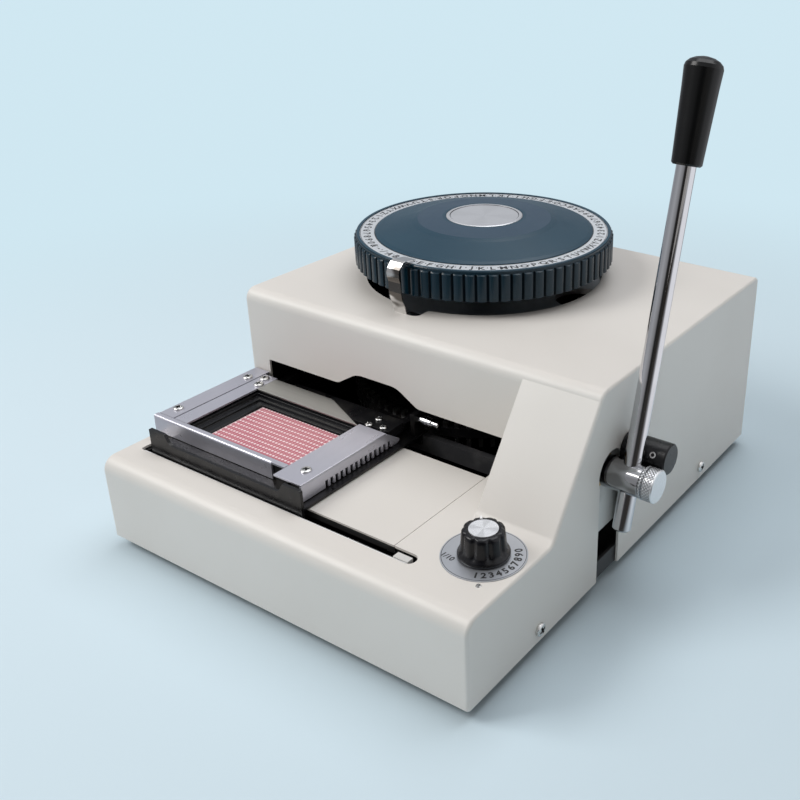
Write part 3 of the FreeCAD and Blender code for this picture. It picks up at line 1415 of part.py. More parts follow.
def main():
    """Build every piece and write it to the parts folder."""
    os.makedirs("parts", exist_ok=True)
    save("cover", make_cover())
    save("deck_plate", make_deck_plate())
    save("base_posts", make_deck_posts() + [make_spring_seat()])
    save("base_plate", make_base_plate())
    save("rubber_feet", make_feet())
    save("foot_screws", make_foot_screws())
    save("cover_screws", make_cover_screws() + [make_pointer_screw()])
    save("right_side_plate", make_right_plate())
    save("left_side_plate", make_left_plate())
    save("bearing_bridge", make_bridge())
    save("bushes", [make_bridge_bush(), make_bearing_block(), make_lever_bush()])
    save("dial", make_dial())
    save("index_ring", make_index_ring())
    save("dial_badge", make_badge())
    save("dial_shaft", make_dial_shaft())
    save("upper_type_wheel", make_wheel(UPPER_WHEEL_H, True))
    save("lower_type_wheel", make_wheel(LOWER_WHEEL_H, False))
    save("punches", make_punches(False))
    save("live_punch", make_punches(True))
    save("dies", make_dies(False))
    save("live_die", make_dies(True))
    save("pointer", make_pointer())
    save("carriage_saddle", make_saddle())
    save("row_guides", make_guides())
    save("slide_bushes", make_slide_bushes())
    save("release_pin", make_release_pin())
    save("outer_strip", make_outer_strip())
    save("front_angle", make_front_angle())
    save("strip_screws", make_strip_screws())
    save("card_seat", make_seat())
    save("position_card", make_position_card())
    save("inner_bar", make_inner_bar())
    save("comb_angle", make_comb_angle())
    save("back_plate", make_back_plate())
    save("bracket_plate", make_bracket_plate())
    save("frame_screws", make_frame_screws())
    save("column_rack", make_column_rack())
    save("stop_block", make_stop_block())
    save("guide_rod", make_guide_rod())
    save("rail_supports", make_rod_brackets() + [make_rail_post()])
    save("rear_rail", make_rear_rail())
    save("pivot_brackets", make_pivot_brackets())
    save("pivot_pins", make_pivot_pins())
    save("upper_arm", make_upper_arm())
    save("upper_press_pins", [make_ram(), make_follower(True)])
    save("lower_arm", make_lower_arm())
    save("lower_press_pins", [make_anvil(), make_follower(False)])
    save("cams", [make_cam(True), make_cam(False)])
    save("return_spring", make_return_spring())
    save("lever_shaft", make_lever_shaft())
    save("lever_hub", make_hub())
    save("hub_cap", make_hub_cap())
    save("lever_rod", make_lever_rod())
    save("lever_grip", make_grip())
    save("lever_stop", make_stop())
    save("label_disc", make_label())
    save("pitch_knob", make_knob())
    save("knob_cap", make_knob_cap())
    save("knob_spindle", make_knob_spindle())
    save("deck_fittings", [make_spindle_bush(), make_index_pin()])


if __name__ == "__main__":
    main()
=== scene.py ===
"""Looks of a hand-operated embosser for plastic cards.

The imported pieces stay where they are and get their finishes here. Fifteen finer pieces are built
in this file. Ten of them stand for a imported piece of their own: the ribbed dial, the visible
screws, the fluted knob, the notched angle, two plates of the card frame, the bent pointer and the
wound spring. The others are added: the marks of the index ring and of the selector, the knob's
line, the steps inside the card seat and the stop's set screw.
"""
from dataclasses import dataclass, field
from enum import Enum
from typing import Any, Callable, Mapping, Sequence
import logging
import math

import bmesh
import bpy
from mathutils import Matrix, Vector


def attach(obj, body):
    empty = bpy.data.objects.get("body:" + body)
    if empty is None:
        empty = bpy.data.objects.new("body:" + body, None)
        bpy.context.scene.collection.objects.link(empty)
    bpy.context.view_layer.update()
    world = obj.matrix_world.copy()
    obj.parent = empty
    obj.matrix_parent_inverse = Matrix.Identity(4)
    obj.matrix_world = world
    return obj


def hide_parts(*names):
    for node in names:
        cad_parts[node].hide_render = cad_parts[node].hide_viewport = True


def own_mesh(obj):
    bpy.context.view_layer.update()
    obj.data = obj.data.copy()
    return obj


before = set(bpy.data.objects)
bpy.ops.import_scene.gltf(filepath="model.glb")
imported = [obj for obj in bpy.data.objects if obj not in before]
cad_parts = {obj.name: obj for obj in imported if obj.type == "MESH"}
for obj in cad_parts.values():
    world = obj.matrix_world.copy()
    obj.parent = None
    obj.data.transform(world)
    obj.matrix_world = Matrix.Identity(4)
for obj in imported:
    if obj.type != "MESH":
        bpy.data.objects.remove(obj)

LOG = logging.getLogger("embosser")
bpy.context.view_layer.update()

Colour = tuple[float, float, float]
Point = tuple[float, float, float]
Pair = tuple[float, float]
Reach = Callable[[float, float, float], float]

COVER_W = 280.0
COVER_D = 348.0
MIDDLE_X = 154.2
FOOT_H = 8.0
DECK_TOP = FOOT_H + 55.5
DIAL_CENTRE = (112.8, 247.5)
RING_TOP = FOOT_H + 158.7
KNOB_CENTRE = (253.4, 50.9)
KNOB_TOP = DECK_TOP + 17.0
LEVER_CENTRE = (140.0, FOOT_H + 71.4)
FRAME_TOP = FOOT_H + 69.6
SHEET_LOW = FRAME_TOP - 1.2
FRAME_LOW = FOOT_H + 58.0
CARD_TOP = FOOT_H + 62.8
CARD_MIDDLE = (79.2, 73.2)
INK_LIFT = 0.03
CAPITAL_SHARE = 1.42
LETTERS = "ABCDEFGHIJKLMNOPQRSTUVWXYZ"
DIGITS = "1234567890"
BACKDROP: Colour = (0.62, 0.79, 0.87)
BLACK: Colour = (0.0, 0.0, 0.0)


def at(x: float, y: float, z: float) -> Vector:
    """Turn millimetres from the cover's left edge, front edge and the floor into frame metres."""
    return Vector(((x - MIDDLE_X) / 1000, (y - COVER_D / 2) / 1000, z / 1000))


def ramp(value: float, span: Pair) -> float:
    """Return how far a value has come through a span, from 0 to 1."""
    return min(max((value - span[0]) / (span[1] - span[0]), 0.0), 1.0)


def shaded(colour: Colour, factor: float) -> Colour:
    """Return a colour made darker or lighter by a factor."""
    return tuple(min(part * factor, 1.0) for part in colour)


class Slot(Enum):
    """Material slots of the record."""

    STEEL = "bare_steel"
    SATIN = "satin_metal"
    BLACK = "black_plastic"
    WHITE = "white_nylon"


class Wire:
    """One output of a shader node, with arithmetic on values."""

    def __init__(self, graph: "Graph", socket: bpy.types.NodeSocket) -> None:
        """Wrap a socket.

        Args:
            graph: The material's graph that owns the socket.
            socket: The output socket.
        """
        self.graph = graph
        self.socket = socket

    def _math(self, operation: str, *values: Any) -> "Wire":
        """Add a Math node of an operation, with wires or numbers as its inputs."""
        node = self.graph.add("ShaderNodeMath", {"operation": operation}, dict(enumerate(values)))
        return Wire(self.graph, node.outputs[0])

    def __add__(self, other: Any) -> "Wire":
        """Add a value."""
        return self._math("ADD", self, other)

    __radd__ = __add__

    def __sub__(self, other: Any) -> "Wire":
        """Take a value away."""
        return self._math("SUBTRACT", self, other)

    def __rsub__(self, other: Any) -> "Wire":
        """Take this wire away from a value."""
        return self._math("SUBTRACT", other, self)

    def __mul__(self, other: Any) -> "Wire":
        """Multiply by a value."""
        return self._math("MULTIPLY", self, other)

    __rmul__ = __mul__

    def __truediv__(self, other: Any) -> "Wire":
        """Divide by a value."""
        return self._math("DIVIDE", self, other)

    def __gt__(self, other: Any) -> "Wire":
        """Give 1 where this wire is larger."""
        return self._math("GREATER_THAN", self, other)

    def __lt__(self, other: Any) -> "Wire":
        """Give 1 where this wire is smaller."""
        return self._math("LESS_THAN", self, other)

    def __abs__(self) -> "Wire":
        """Give the size without its sign."""
        return self._math("ABSOLUTE", self)

    def sine(self) -> "Wire":
        """Give the sine."""
        return self._math("SINE", self)

    def fraction(self) -> "Wire":
        """Give the part after the decimal point."""
        return self._math("FRACT", self)

    def power(self, exponent: float) -> "Wire":
        """Raise to a power."""
        return self._math("POWER", self, exponent)

    def length_with(self, other: "Wire") -> "Wire":
        """Give the length that this wire and another have at a right angle."""
        return (self * self + other * other).power(0.5)

    def angle_from(self, other: "Wire") -> "Wire":
        """Give the angle whose tangent is this wire over another."""
        return self._math("ARCTAN2", self, other)

    def between(self, low: float, high: float) -> "Wire":
        """Give a soft step from 0 at low to 1 at high."""
        node = self.graph.add(
            "ShaderNodeMapRange",
            {"interpolation_type": "SMOOTHSTEP"},
            {"Value": self, "From Min": low, "From Max": high},
        )
        return Wire(self.graph, node.outputs["Result"])


class Graph:
    """The node graph of one material."""

    def __init__(self, name: str) -> None:
        """Start a material with one Principled shader.

        Args:
            name: The material's name.
        """
        self.material = bpy.data.materials.new(name)
        self.material.use_nodes = True
        self.tree = self.material.node_tree
        self.tree.nodes.clear()
        self.shader = self.add("ShaderNodeBsdfPrincipled")
        out = self.add("ShaderNodeOutputMaterial")
        self.tree.links.new(self.shader.outputs[0], out.inputs["Surface"])
        place = self.add("ShaderNodeTexCoord")
        self.place = Wire(self, place.outputs["Object"])

    def add(
        self,
        kind: str,
        settings: Mapping[str, Any] | None = None,
        sockets: Mapping[Any, Any] | None = None,
    ) -> bpy.types.Node:
        """Add one node.

        Args:
            kind: Blender's name of the node type.
            settings: Properties that are set first; "stops" fills a colour ramp.
            sockets: Values or wires by input name or number.

        Returns:
            The node.
        """
        node = self.tree.nodes.new(kind)
        for key, value in (settings or {}).items():
            if key == "stops":
                ramp = node.color_ramp
                for position, colour in value:
                    ends = {0.0: ramp.elements[0], 1.0: ramp.elements[-1]}
                    stop = ends.get(position) or ramp.elements.new(position)
                    stop.color = (*colour, 1.0)
            else:
                setattr(node, key, value)
        for key, value in (sockets or {}).items():
            self.feed(node.inputs[key], value)
        return node

    def feed(self, socket: bpy.types.NodeSocket, value: Any) -> None:
        """Give an input its wire or its value."""
        if isinstance(value, Wire):
            self.tree.links.new(value.socket, socket)
        elif isinstance(value, tuple) and socket.type == "RGBA" and len(value) == 3:
            socket.default_value = (*value, 1.0)
        else:
            socket.default_value = value

    def set(self, **values: Any) -> None:
        """Set inputs of the Principled shader; an underscore in a name stands for a space."""
        for key, value in values.items():
            self.feed(self.shader.inputs[key.replace("_", " ")], value)

    def axes(self, centre: Vector | None = None) -> tuple[Wire, Wire, Wire]:
        """Split the position into its three parts.

        Args:
            centre: The point to measure from, or None for the frame's origin.

        Returns:
            The wires of x, y and z in metres.
        """
        place = self.place
        if centre is not None:
            moved = self.add(
                "ShaderNodeVectorMath", {"operation": "SUBTRACT"}, {0: place, 1: tuple(centre)}
            )
            place = Wire(self, moved.outputs[0])
        parts = self.add("ShaderNodeSeparateXYZ", None, {0: place})
        return tuple(Wire(self, parts.outputs[index]) for index in range(3))

    def noise(self, per_metre: float, detail: float = 2.0, stretch: Point = (1, 1, 1)) -> Wire:
        """Give smooth noise.

        Args:
            per_metre: How many features lie on a metre.
            detail: How many finer layers are added.
            stretch: Factors on the three directions.

        Returns:
            A wire from 0 to 1.
        """
        scaled = self.add("ShaderNodeMapping", None, {"Vector": self.place, "Scale": stretch})
        node = self.add(
            "ShaderNodeTexNoise",
            None,
            {"Vector": Wire(self, scaled.outputs[0]), "Scale": per_metre, "Detail": detail},
        )
        return Wire(self, node.outputs[0])

    def mix(self, share: Any, first: Any, second: Any) -> Wire:
        """Mix two colours.

        Args:
            share: How much of the second is shown.
            first: A colour or its wire.
            second: A colour or its wire.

        Returns:
            The wire of the mixed colour.
        """
        node = self.add("ShaderNodeMix", {"data_type": "RGBA"}, {0: share, 6: first, 7: second})
        return Wire(self, node.outputs[2])

    def bump(self, height: Wire, depth_mm: float, strength: float = 1.0) -> None:
        """Raise the surface by a height between 0 and 1.

        Args:
            height: The wire of the height.
            depth_mm: How far 1 stands above 0.
            strength: How much of the effect is shown.
        """
        node = self.add(
            "ShaderNodeBump",
            None,
            {"Height": height, "Distance": depth_mm / 1000, "Strength": strength},
        )
        self.set(Normal=Wire(self, node.outputs[0]))


@dataclass(frozen=True)
class Finish:
    """What every finish has: a name, and a material made from its values."""

    name: str

    def paint(self, graph: Graph) -> None:
        """Set the shader's inputs."""
        raise NotImplementedError(self.name)

    def material(self) -> bpy.types.Material:
        """Return the finished material."""
        graph = Graph(self.name)
        self.paint(graph)
        return graph.material


@dataclass(frozen=True)
class Paint(Finish):
    """Stoved paint on sheet metal, with a fine texture and faint uneven tone, and a near-black
    painted shade below a given height.
    """

    colour: Colour
    shade: Colour
    roughness: float = 0.42
    grain_mm: float = 0.8
    depth_mm: float = 0.02
    painted_shade_below: float = 0.0
    painted_shade_colour: Colour = (0.012, 0.012, 0.012)

    def paint(self, graph: Graph) -> None:
        """Set the shader's inputs."""
        tone = graph.noise(9, 3).between(0.35, 0.7)
        speck = graph.noise(1000 / self.grain_mm * 2.2, 1).between(0.3, 0.75)
        colour = graph.mix(tone * 0.5, self.colour, self.shade)
        colour = graph.mix(speck * 0.12, colour, self.shade)
        # Below the given height the colour turns near-black: painted shade on the deck plate's
        # front flange.
        painted_shade_mask = graph.axes()[2] < self.painted_shade_below / 1000
        graph.set(Base_Color=graph.mix(painted_shade_mask, colour, self.painted_shade_colour))
        graph.set(Roughness=graph.noise(60, 2) * 0.14 + (self.roughness - 0.07))
        graph.bump(graph.noise(1000 / self.grain_mm, 2), self.depth_mm)


@dataclass(frozen=True)
class Plated(Finish):
    """Bright plated metal with faint smears and hairline scratches, and dark bands of painted
    reflection.
    """

    colour: Colour = (0.80, 0.81, 0.83)
    roughness: float = 0.09
    smear: float = 0.10
    scratch_along: Point = (1.0, 12.0, 12.0)
    painted_reflection: float = 0.0
    painted_reflection_colour: Colour = (0.045, 0.036, 0.028)

    def paint(self, graph: Graph) -> None:
        """Set the shader's inputs."""
        smear = graph.noise(55, 4).between(0.45, 0.75)
        hair = graph.noise(160, 3, self.scratch_along).between(0.58, 0.72)
        dull = shaded(self.colour, 0.86)
        plate = graph.mix(smear * 0.5, self.colour, dull)
        # Dark brown bands mixed into the plating are painted reflection, standing for the dark
        # parts of the room mirrored in the metal.
        reflection_band = graph.noise(110, 1, (0.5, 0.6, 1.0)).between(0.42, 0.56)
        graph.set(Base_Color=graph.mix(reflection_band * self.painted_reflection, plate, self.painted_reflection_colour))
        graph.set(Metallic=1.0)
        graph.set(Roughness=smear * self.smear + hair * 0.08 + self.roughness)
        graph.bump(hair, 0.004)


@dataclass(frozen=True)
class Milled(Finish):
    """Bare steel or aluminium with fine marks in one direction."""

    colour: Colour
    roughness: float = 0.34
    along: Point = (0.05, 1.0, 1.0)
    per_metre: float = 900.0
    blotch: Colour = (0.30, 0.29, 0.27)
    blotch_share: float = 0.25
    metallic: float = 1.0

    def paint(self, graph: Graph) -> None:
        """Set the shader's inputs."""
        marks = graph.noise(self.per_metre, 3, self.along)
        stain = graph.noise(28, 5).between(0.48, 0.72)
        tone = graph.mix(marks * 0.35, self.colour, shaded(self.colour, 0.7))
        graph.set(Base_Color=graph.mix(stain * self.blotch_share, tone, self.blotch))
        graph.set(Metallic=self.metallic)
        graph.set(Roughness=marks * 0.16 + stain * 0.1 + (self.roughness - 0.08))
        graph.bump(marks, 0.006)


@dataclass(frozen=True)
class Blackened(Finish):
    """Black coated metal, a little brown where it has been handled."""

    colour: Colour = (0.007, 0.007, 0.008)
    worn: Colour = (0.030, 0.028, 0.026)
    roughness: float = 0.30

    def paint(self, graph: Graph) -> None:
        """Set the shader's inputs."""
        rub = graph.noise(70, 4).between(0.5, 0.72)
        graph.set(Base_Color=graph.mix(rub * 0.6, self.colour, self.worn))
        graph.set(Roughness=graph.noise(140, 2) * 0.2 + (self.roughness - 0.1))
        graph.set(Metallic=0.05, Specular_IOR_Level=0.35)
        graph.bump(graph.noise(900, 2), 0.008)


@dataclass(frozen=True)
class Moulded(Finish):
    """Moulded plastic with spark-eroded grain."""

    colour: Colour
    light: Colour
    roughness: float = 0.38
    grain_mm: float = 0.5
    depth_mm: float = 0.02
    gloss_coat: float = 0.0
    specular: float = 0.5

    def paint(self, graph: Graph) -> None:
        """Set the shader's inputs."""
        tone = graph.noise(22, 3).between(0.3, 0.75)
        graph.set(Base_Color=graph.mix(tone * 0.35, self.colour, self.light))
        graph.set(Roughness=graph.noise(90, 2) * 0.12 + (self.roughness - 0.06))
        graph.set(Coat_Weight=self.gloss_coat, Specular_IOR_Level=self.specular)
        graph.bump(graph.noise(1000 / self.grain_mm, 2), self.depth_mm)


@dataclass(frozen=True)
class Spun(Finish):
    """Metal turned on a lathe, with rings round an upright axis and soft rays of painted
    reflection.
    """

    centre: Pair
    colour: Colour
    roughness: float = 0.26
    rings_mm: float = 0.35
    painted_rays: float = 0.0
    metallic: float = 1.0
    lines_mm: tuple[Pair, ...] = ()
    line_colour: Colour = (0.03, 0.03, 0.035)

    def paint(self, graph: Graph) -> None:
        """Set the shader's inputs."""
        x, y, _ = graph.axes(at(*self.centre, 0))
        radius = x.length_with(y)
        rings = (radius * (2000 * math.pi / self.rings_mm)).sine() * 0.5 + 0.5
        uneven = graph.noise(240, 3)
        # Four soft sectors, darker and lighter round the centre, are painted reflection standing
        # for the light and shade that turned metal throws back.
        painted_ray = (y.angle_from(x) * 4.0).sine().between(-0.2, 1.0)
        dark = shaded(self.colour, 0.55)
        tone = graph.mix(painted_ray * self.painted_rays, self.colour, dark)
        for inner, outer in self.lines_mm:
            line = (radius > inner / 1000) * (radius < outer / 1000)
            tone = graph.mix(line * 0.85, tone, self.line_colour)
        graph.set(Base_Color=graph.mix(uneven * 0.15, tone, dark), Metallic=self.metallic)
        graph.set(Roughness=rings * 0.08 + uneven * 0.08 + (self.roughness - 0.08))
        graph.bump(rings, 0.003)


@dataclass(frozen=True)
class Knurled(Finish):
    """Plated cap with a crossed knurl on its rim and a spun face."""

    colour: Colour = (0.84, 0.85, 0.87)
    pitch_mm: float = 2.1
    rim_end: float = 309.9
    rim_from: float = 7.8

    def paint(self, graph: Graph) -> None:
        """Set the shader's inputs."""
        x, y, z = graph.axes(at(0, *LEVER_CENTRE))
        radius = y.length_with(z)
        turn = z.angle_from(y) * (10.0 / self.pitch_mm)
        along = x * (1000.0 / self.pitch_mm)
        one = ((turn + along) * math.pi).sine()
        two = ((turn - along) * math.pi).sine()
        knurl = abs(one * two).between(0.1, 0.6)
        on_rim = (x < self.rim_end / 1000) * (radius > self.rim_from / 1000)
        face = graph.noise(500, 2)
        shade = on_rim * (1 - knurl) * 0.95
        dark = shaded(self.colour, 0.18)
        graph.set(Base_Color=graph.mix(shade, self.colour, dark), Metallic=0.8)
        graph.set(Roughness=face * 0.1 + 0.2)
        graph.bump(knurl * on_rim + face * 0.03, 0.25)


@dataclass(frozen=True)
class PrintedCard(Finish):
    """Red plastic card printed with a pale grid of character places."""

    centre: Pair
    red: Colour = (0.36, 0.020, 0.045)
    tint: Colour = (0.50, 0.135, 0.175)
    pale: Colour = (0.95, 0.80, 0.82)
    columns: int = 29
    rows: int = 11
    column_mm: float = 2.54
    row_mm: float = 4.02

    def paint(self, graph: Graph) -> None:
        """Set the shader's inputs."""
        x, y, _ = graph.axes(at(*self.centre, 0))
        across = x * (1000 / self.column_mm) + self.columns / 2
        down = y * (1000 / self.row_mm) + self.rows / 2
        inside = (across > 0) * (across < self.columns) * (down > 0) * (down < self.rows)
        cell_x = abs(across.fraction() - 0.5)
        cell_y = abs(down.fraction() - 0.5)
        line = 1 - cell_y.between(0.14, 0.26)
        cell = (1 - cell_x.between(0.20, 0.34)) * line
        between_rows = cell_y.between(0.40, 0.47) * (1 - cell_x.between(0.2, 0.4))
        edge = (across < 0.16) * (across > -0.16) * (down > 0) * (down < self.rows)
        # Outside the printed grid the card is a darker red: partly the card's own red and partly
        # painted shade from the seat's walls.
        field_tone = graph.mix(inside, self.red, self.tint)
        pattern = inside * (cell * 0.78 + line * 0.12 + between_rows * 0.35) + edge * 0.8
        graph.set(Base_Color=graph.mix(pattern, field_tone, self.pale))
        graph.set(Roughness=graph.noise(90, 2) * 0.08 + 0.24, Coat_Weight=0.3)
        graph.bump(graph.noise(300, 2), 0.01)


@dataclass(frozen=True)
class Flat(Finish):
    """Printing ink or paint filled into a mark; also the near-black painted shade in the screws'
    recesses.
    """

    colour: Colour
    roughness: float = 0.45

    def paint(self, graph: Graph) -> None:
        """Set the shader's inputs."""
        uneven = graph.noise(1500, 2).between(0.3, 0.8)
        light = tuple(min(part * 1.6 + 0.02, 1.0) for part in self.colour)
        graph.set(Base_Color=graph.mix(uneven * 0.3, self.colour, light))
        graph.set(Roughness=uneven * 0.15 + self.roughness)


COVER_PAINT = Paint("cover_paint", (0.735, 0.712, 0.680), (0.68, 0.655, 0.62))
# The deck plate's front flange, below its top sheet, is painted near-black as painted shade.
DECK_PAINT = Paint(
    "deck_paint",
    (0.725, 0.704, 0.672),
    (0.68, 0.655, 0.62),
    roughness=0.40,
    grain_mm=0.7,
    depth_mm=0.015,
    painted_shade_below=DECK_TOP - 1.2,
)
PAN_PAINT = Paint("pan_paint", (0.02, 0.02, 0.022), (0.035, 0.034, 0.033), 0.5, 1.0, 0.03)
CHROME_ACROSS = Plated("chrome_bars", (0.60, 0.60, 0.61), 0.08, 0.07)
# The hub and the pointer carry dark bands of painted reflection.
CHROME_HUB = Plated("chrome_hub", (0.46, 0.46, 0.47), 0.07, 0.06, painted_reflection=0.55)
CHROME_ROD = Plated("chrome_rod", (0.66, 0.66, 0.68), 0.05, 0.05, (8.0, 8.0, 0.6))
CHROME_STRIP = Plated("chrome_pointer", (0.62, 0.61, 0.60), 0.06, 0.05, (12.0, 12.0, 1.0), 0.9)
FRAME_PLATE = Milled(
    "frame_plate",
    (0.60, 0.60, 0.675),
    roughness=0.30,
    along=(0.25, 0.06, 0.25),
    per_metre=700.0,
    blotch=(0.50, 0.50, 0.56),
    blotch_share=0.35,
    metallic=0.6,
)
RACK_STEEL = Milled(
    "rack_steel",
    (0.86, 0.87, 0.88),
    roughness=0.42,
    per_metre=600.0,
    blotch=(0.7, 0.7, 0.7),
    blotch_share=0.2,
    metallic=0.4,
)
BARE_STEEL = Milled("bare_steel_plate", (0.50, 0.50, 0.50))
SIDE_STEEL = Milled(
    "scuffed_side_plate",
    (0.66, 0.66, 0.64),
    roughness=0.36,
    along=(1.0, 0.5, 0.08),
    per_metre=500.0,
    blotch=(0.22, 0.21, 0.19),
    blotch_share=0.6,
    metallic=0.35,
)
SCREW_STEEL = Milled("screw_steel", (0.78, 0.77, 0.75), 0.24, (1.0, 1.0, 1.0), 1200.0)
MATTE_BAR = Milled(
    "matte_bar",
    (0.47, 0.465, 0.44),
    roughness=0.44,
    per_metre=700.0,
    blotch=(0.42, 0.40, 0.36),
    blotch_share=0.3,
)
BRONZE = Milled("bearing_bronze", (0.55, 0.38, 0.18), 0.4)
BLACK_METAL = Blackened("blackened_steel")
RAIL_GREY = Blackened("rail_grey", (0.045, 0.046, 0.050), (0.09, 0.09, 0.092), 0.4)
WHEEL_METAL = Blackened("wheel_black", (0.016, 0.016, 0.018), (0.06, 0.055, 0.05), 0.3)
SEAT_BLACK = Moulded(
    "seat_black", (0.003, 0.003, 0.004), (0.007, 0.007, 0.008), 0.16, 0.6, 0.004, specular=0.22
)
DIAL_TEAL = Moulded(
    "dial_teal", (0.006, 0.040, 0.070), (0.014, 0.058, 0.092), 0.40, 0.45, 0.03, specular=0.4
)
# A darker copy of the dial's plastic for the rim's side: painted shade where the side faces away
# from the light.
DIAL_RIM_SHADED = Moulded(
    "dial_rim_painted_shade", (0.002, 0.018, 0.032), (0.006, 0.027, 0.042), 0.24, 0.45, 0.02, specular=0.35
)
# Near-black plastic on the faces deep between the ribs is painted shade in the grooves.
DIAL_GROOVE_SHADE = Moulded(
    "dial_groove_painted_shade", (0.0008, 0.005, 0.009), (0.002, 0.008, 0.013), 0.5, 0.45, 0.02, specular=0.15
)
# A lighter copy of the dial's plastic on the flat plateau: painted sheen for the bright sky
# mirrored by the face that looks up.
DIAL_PLATEAU_SHEEN = Moulded(
    "dial_plateau_painted_sheen", (0.024, 0.055, 0.092), (0.034, 0.070, 0.108), 0.42, 0.45, 0.03, specular=0.4
)
GRIP_BLACK = Moulded(
    "grip_black", (0.003, 0.003, 0.003), (0.007, 0.007, 0.008), 0.24, 0.9, 0.006, specular=0.3
)
KNOB_BLACK = Moulded(
    "knob_black", (0.004, 0.004, 0.006), (0.009, 0.009, 0.012), 0.26, 0.8, 0.006, specular=0.35
)
NYLON = Moulded("white_nylon", (0.62, 0.62, 0.61), (0.55, 0.55, 0.54), 0.4, 0.6, 0.01)
RUBBER = Moulded("foot_rubber", (0.012, 0.012, 0.012), (0.03, 0.03, 0.03), 0.7, 0.7, 0.03)
RING_METAL = Spun(
    "index_ring_metal",
    DIAL_CENTRE,
    (0.86, 0.88, 0.90),
    roughness=0.42,
    rings_mm=0.4,
    metallic=0.85,
    lines_mm=((76.2, 76.7), (85.8, 86.2)),
)
BADGE_METAL = Spun(
    "badge_metal", DIAL_CENTRE, (0.66, 0.67, 0.70), 0.34, 0.9, 0.12, 0.6, ((23.6, 24.2),)
)
LABEL_METAL = Spun(
    "label_metal", KNOB_CENTRE, (0.50, 0.52, 0.56), 0.36, 0.4, 0.0, 0.8, ((22.6, 23.0),)
)
CAP_METAL = Spun("knob_cap_metal", KNOB_CENTRE, (0.92, 0.94, 0.98), 0.24, 0.5, 0.5, 0.45)
CAP_KNURL = Knurled("knurled_cap")
CARD_PRINT = PrintedCard("position_card_print", CARD_MIDDLE)
BLACK_INK = Flat("black_ink", (0.012, 0.012, 0.014))
# Near-black in the screws' cross recesses is painted shade.
RECESS_SHADE = Flat("screw_recess_painted_shade", (0.010, 0.010, 0.010))
WHITE_INK = Flat("white_ink", (0.80, 0.80, 0.82))

FINISHED: tuple[tuple[Finish, tuple[str, ...]], ...] = (
    (COVER_PAINT, ("cover",)),
    (DECK_PAINT, ("deck_plate",)),
    (PAN_PAINT, ("base_plate",)),
    (
        BARE_STEEL,
        (
            "base_posts", "bearing_bridge", "pivot_pins", "dial_shaft", "punches", "dies",
            "live_punch", "live_die", "upper_press_pins", "return_spring", "lower_press_pins",
            "cams", "lever_shaft", "knob_spindle",
        ),
    ),
    (RUBBER, ("rubber_feet",)),
    (
        SCREW_STEEL,
        (
            "foot_screws", "cover_screws", "deck_fittings", "strip_screws", "frame_screws",
        ),
    ),
    (SIDE_STEEL, ("right_side_plate",)),
    (
        BLACK_METAL,
        (
            "left_side_plate", "rail_supports", "pivot_brackets", "lever_stop", "carriage_saddle",
            "row_guides", "slide_bushes", "bracket_plate", "upper_arm", "lower_arm",
        ),
    ),
    (BRONZE, ("bushes",)),
    (CHROME_STRIP, ("pointer",)),
    (RACK_STEEL, ("column_rack",)),
    (NYLON, ("stop_block",)),
    (CHROME_ACROSS, ("guide_rod", "release_pin")),
    (RAIL_GREY, ("rear_rail",)),
    (LABEL_METAL, ("label_disc",)),
    (DIAL_TEAL, ("dial",)),
    (RING_METAL, ("index_ring",)),
    (BADGE_METAL, ("dial_badge",)),
    (WHEEL_METAL, ("upper_type_wheel", "lower_type_wheel")),
    (FRAME_PLATE, ("outer_strip", "front_angle", "inner_bar", "comb_angle")),
    (SEAT_BLACK, ("card_seat",)),
    (CARD_PRINT, ("position_card",)),
    (MATTE_BAR, ("back_plate",)),
    (CHROME_HUB, ("lever_hub",)),
    (CAP_KNURL, ("hub_cap",)),
    (CHROME_ROD, ("lever_rod",)),
    (GRIP_BLACK, ("lever_grip",)),
    (KNOB_BLACK, ("pitch_knob",)),
    (CAP_METAL, ("knob_cap",)),
)
NODE_FINISH: dict[str, Finish] = {name: finish for finish, names in FINISHED for name in names}


@dataclass
class Workshop:
    """Keeps the finishes that are already made and joins meshes into pieces."""

    made: dict[str, bpy.types.Material] = field(default_factory=dict)

    def finish(self, finish: Finish) -> bpy.types.Material:
        """Return the material of a finish, made once."""
        if finish.name not in self.made:
            self.made[finish.name] = finish.material()
        return self.made[finish.name]

    def dress(self, thing: bpy.types.Object, *finishes: Finish) -> None:
        """Give an object its materials in place of any that it has."""
        if thing.data.materials:
            thing.data.materials.clear()
        for finish in finishes:
            thing.data.materials.append(self.finish(finish))

    def piece(
        self, name: str, shape: bmesh.types.BMesh, body: str, slot: Slot, *finishes: Finish
    ) -> bpy.types.Object:
        """Turn a mesh into a piece that rides on a body.

        Args:
            name: The piece's name.
            shape: Its mesh in frame metres.
            body: The body it moves with.
            slot: The record's slot for its finish; it is not used.
            finishes: Its materials, in the order of the faces' numbers.

        Returns:
            The new object.
        """
        mesh = bpy.data.meshes.new(name)
        shape.to_mesh(mesh)
        shape.free()
        thing = bpy.data.objects.new(name, mesh)
        bpy.context.scene.collection.objects.link(thing)
        self.dress(thing, *finishes)
        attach(thing, body)
        LOG.info("%s: %d faces on %s", name, len(mesh.polygons), body)
        return thing

    def soften(
        self, piece: bpy.types.Object, width_mm: float, segments: int = 2, angle: float = 40.0
    ) -> None:
        """Round a piece's sharp edges with a bevel.

        Args:
            piece: The piece.
            width_mm: The bevel's width in millimetres.
            segments: How many faces each rounding has.
            angle: The least angle in degrees of an edge that is rounded.
        """
        bevel = piece.modifiers.new("rounding", "BEVEL")
        bevel.width = width_mm / 1000
        bevel.segments = segments
        bevel.limit_method = "ANGLE"
        bevel.angle_limit = math.radians(angle)

    def dress_nodes(self) -> None:
        """Give every carried-over piece its finish."""
        for name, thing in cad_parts.items():
            self.dress(thing, NODE_FINISH[name])
            LOG.info("%s: %s", name, NODE_FINISH[name].name)


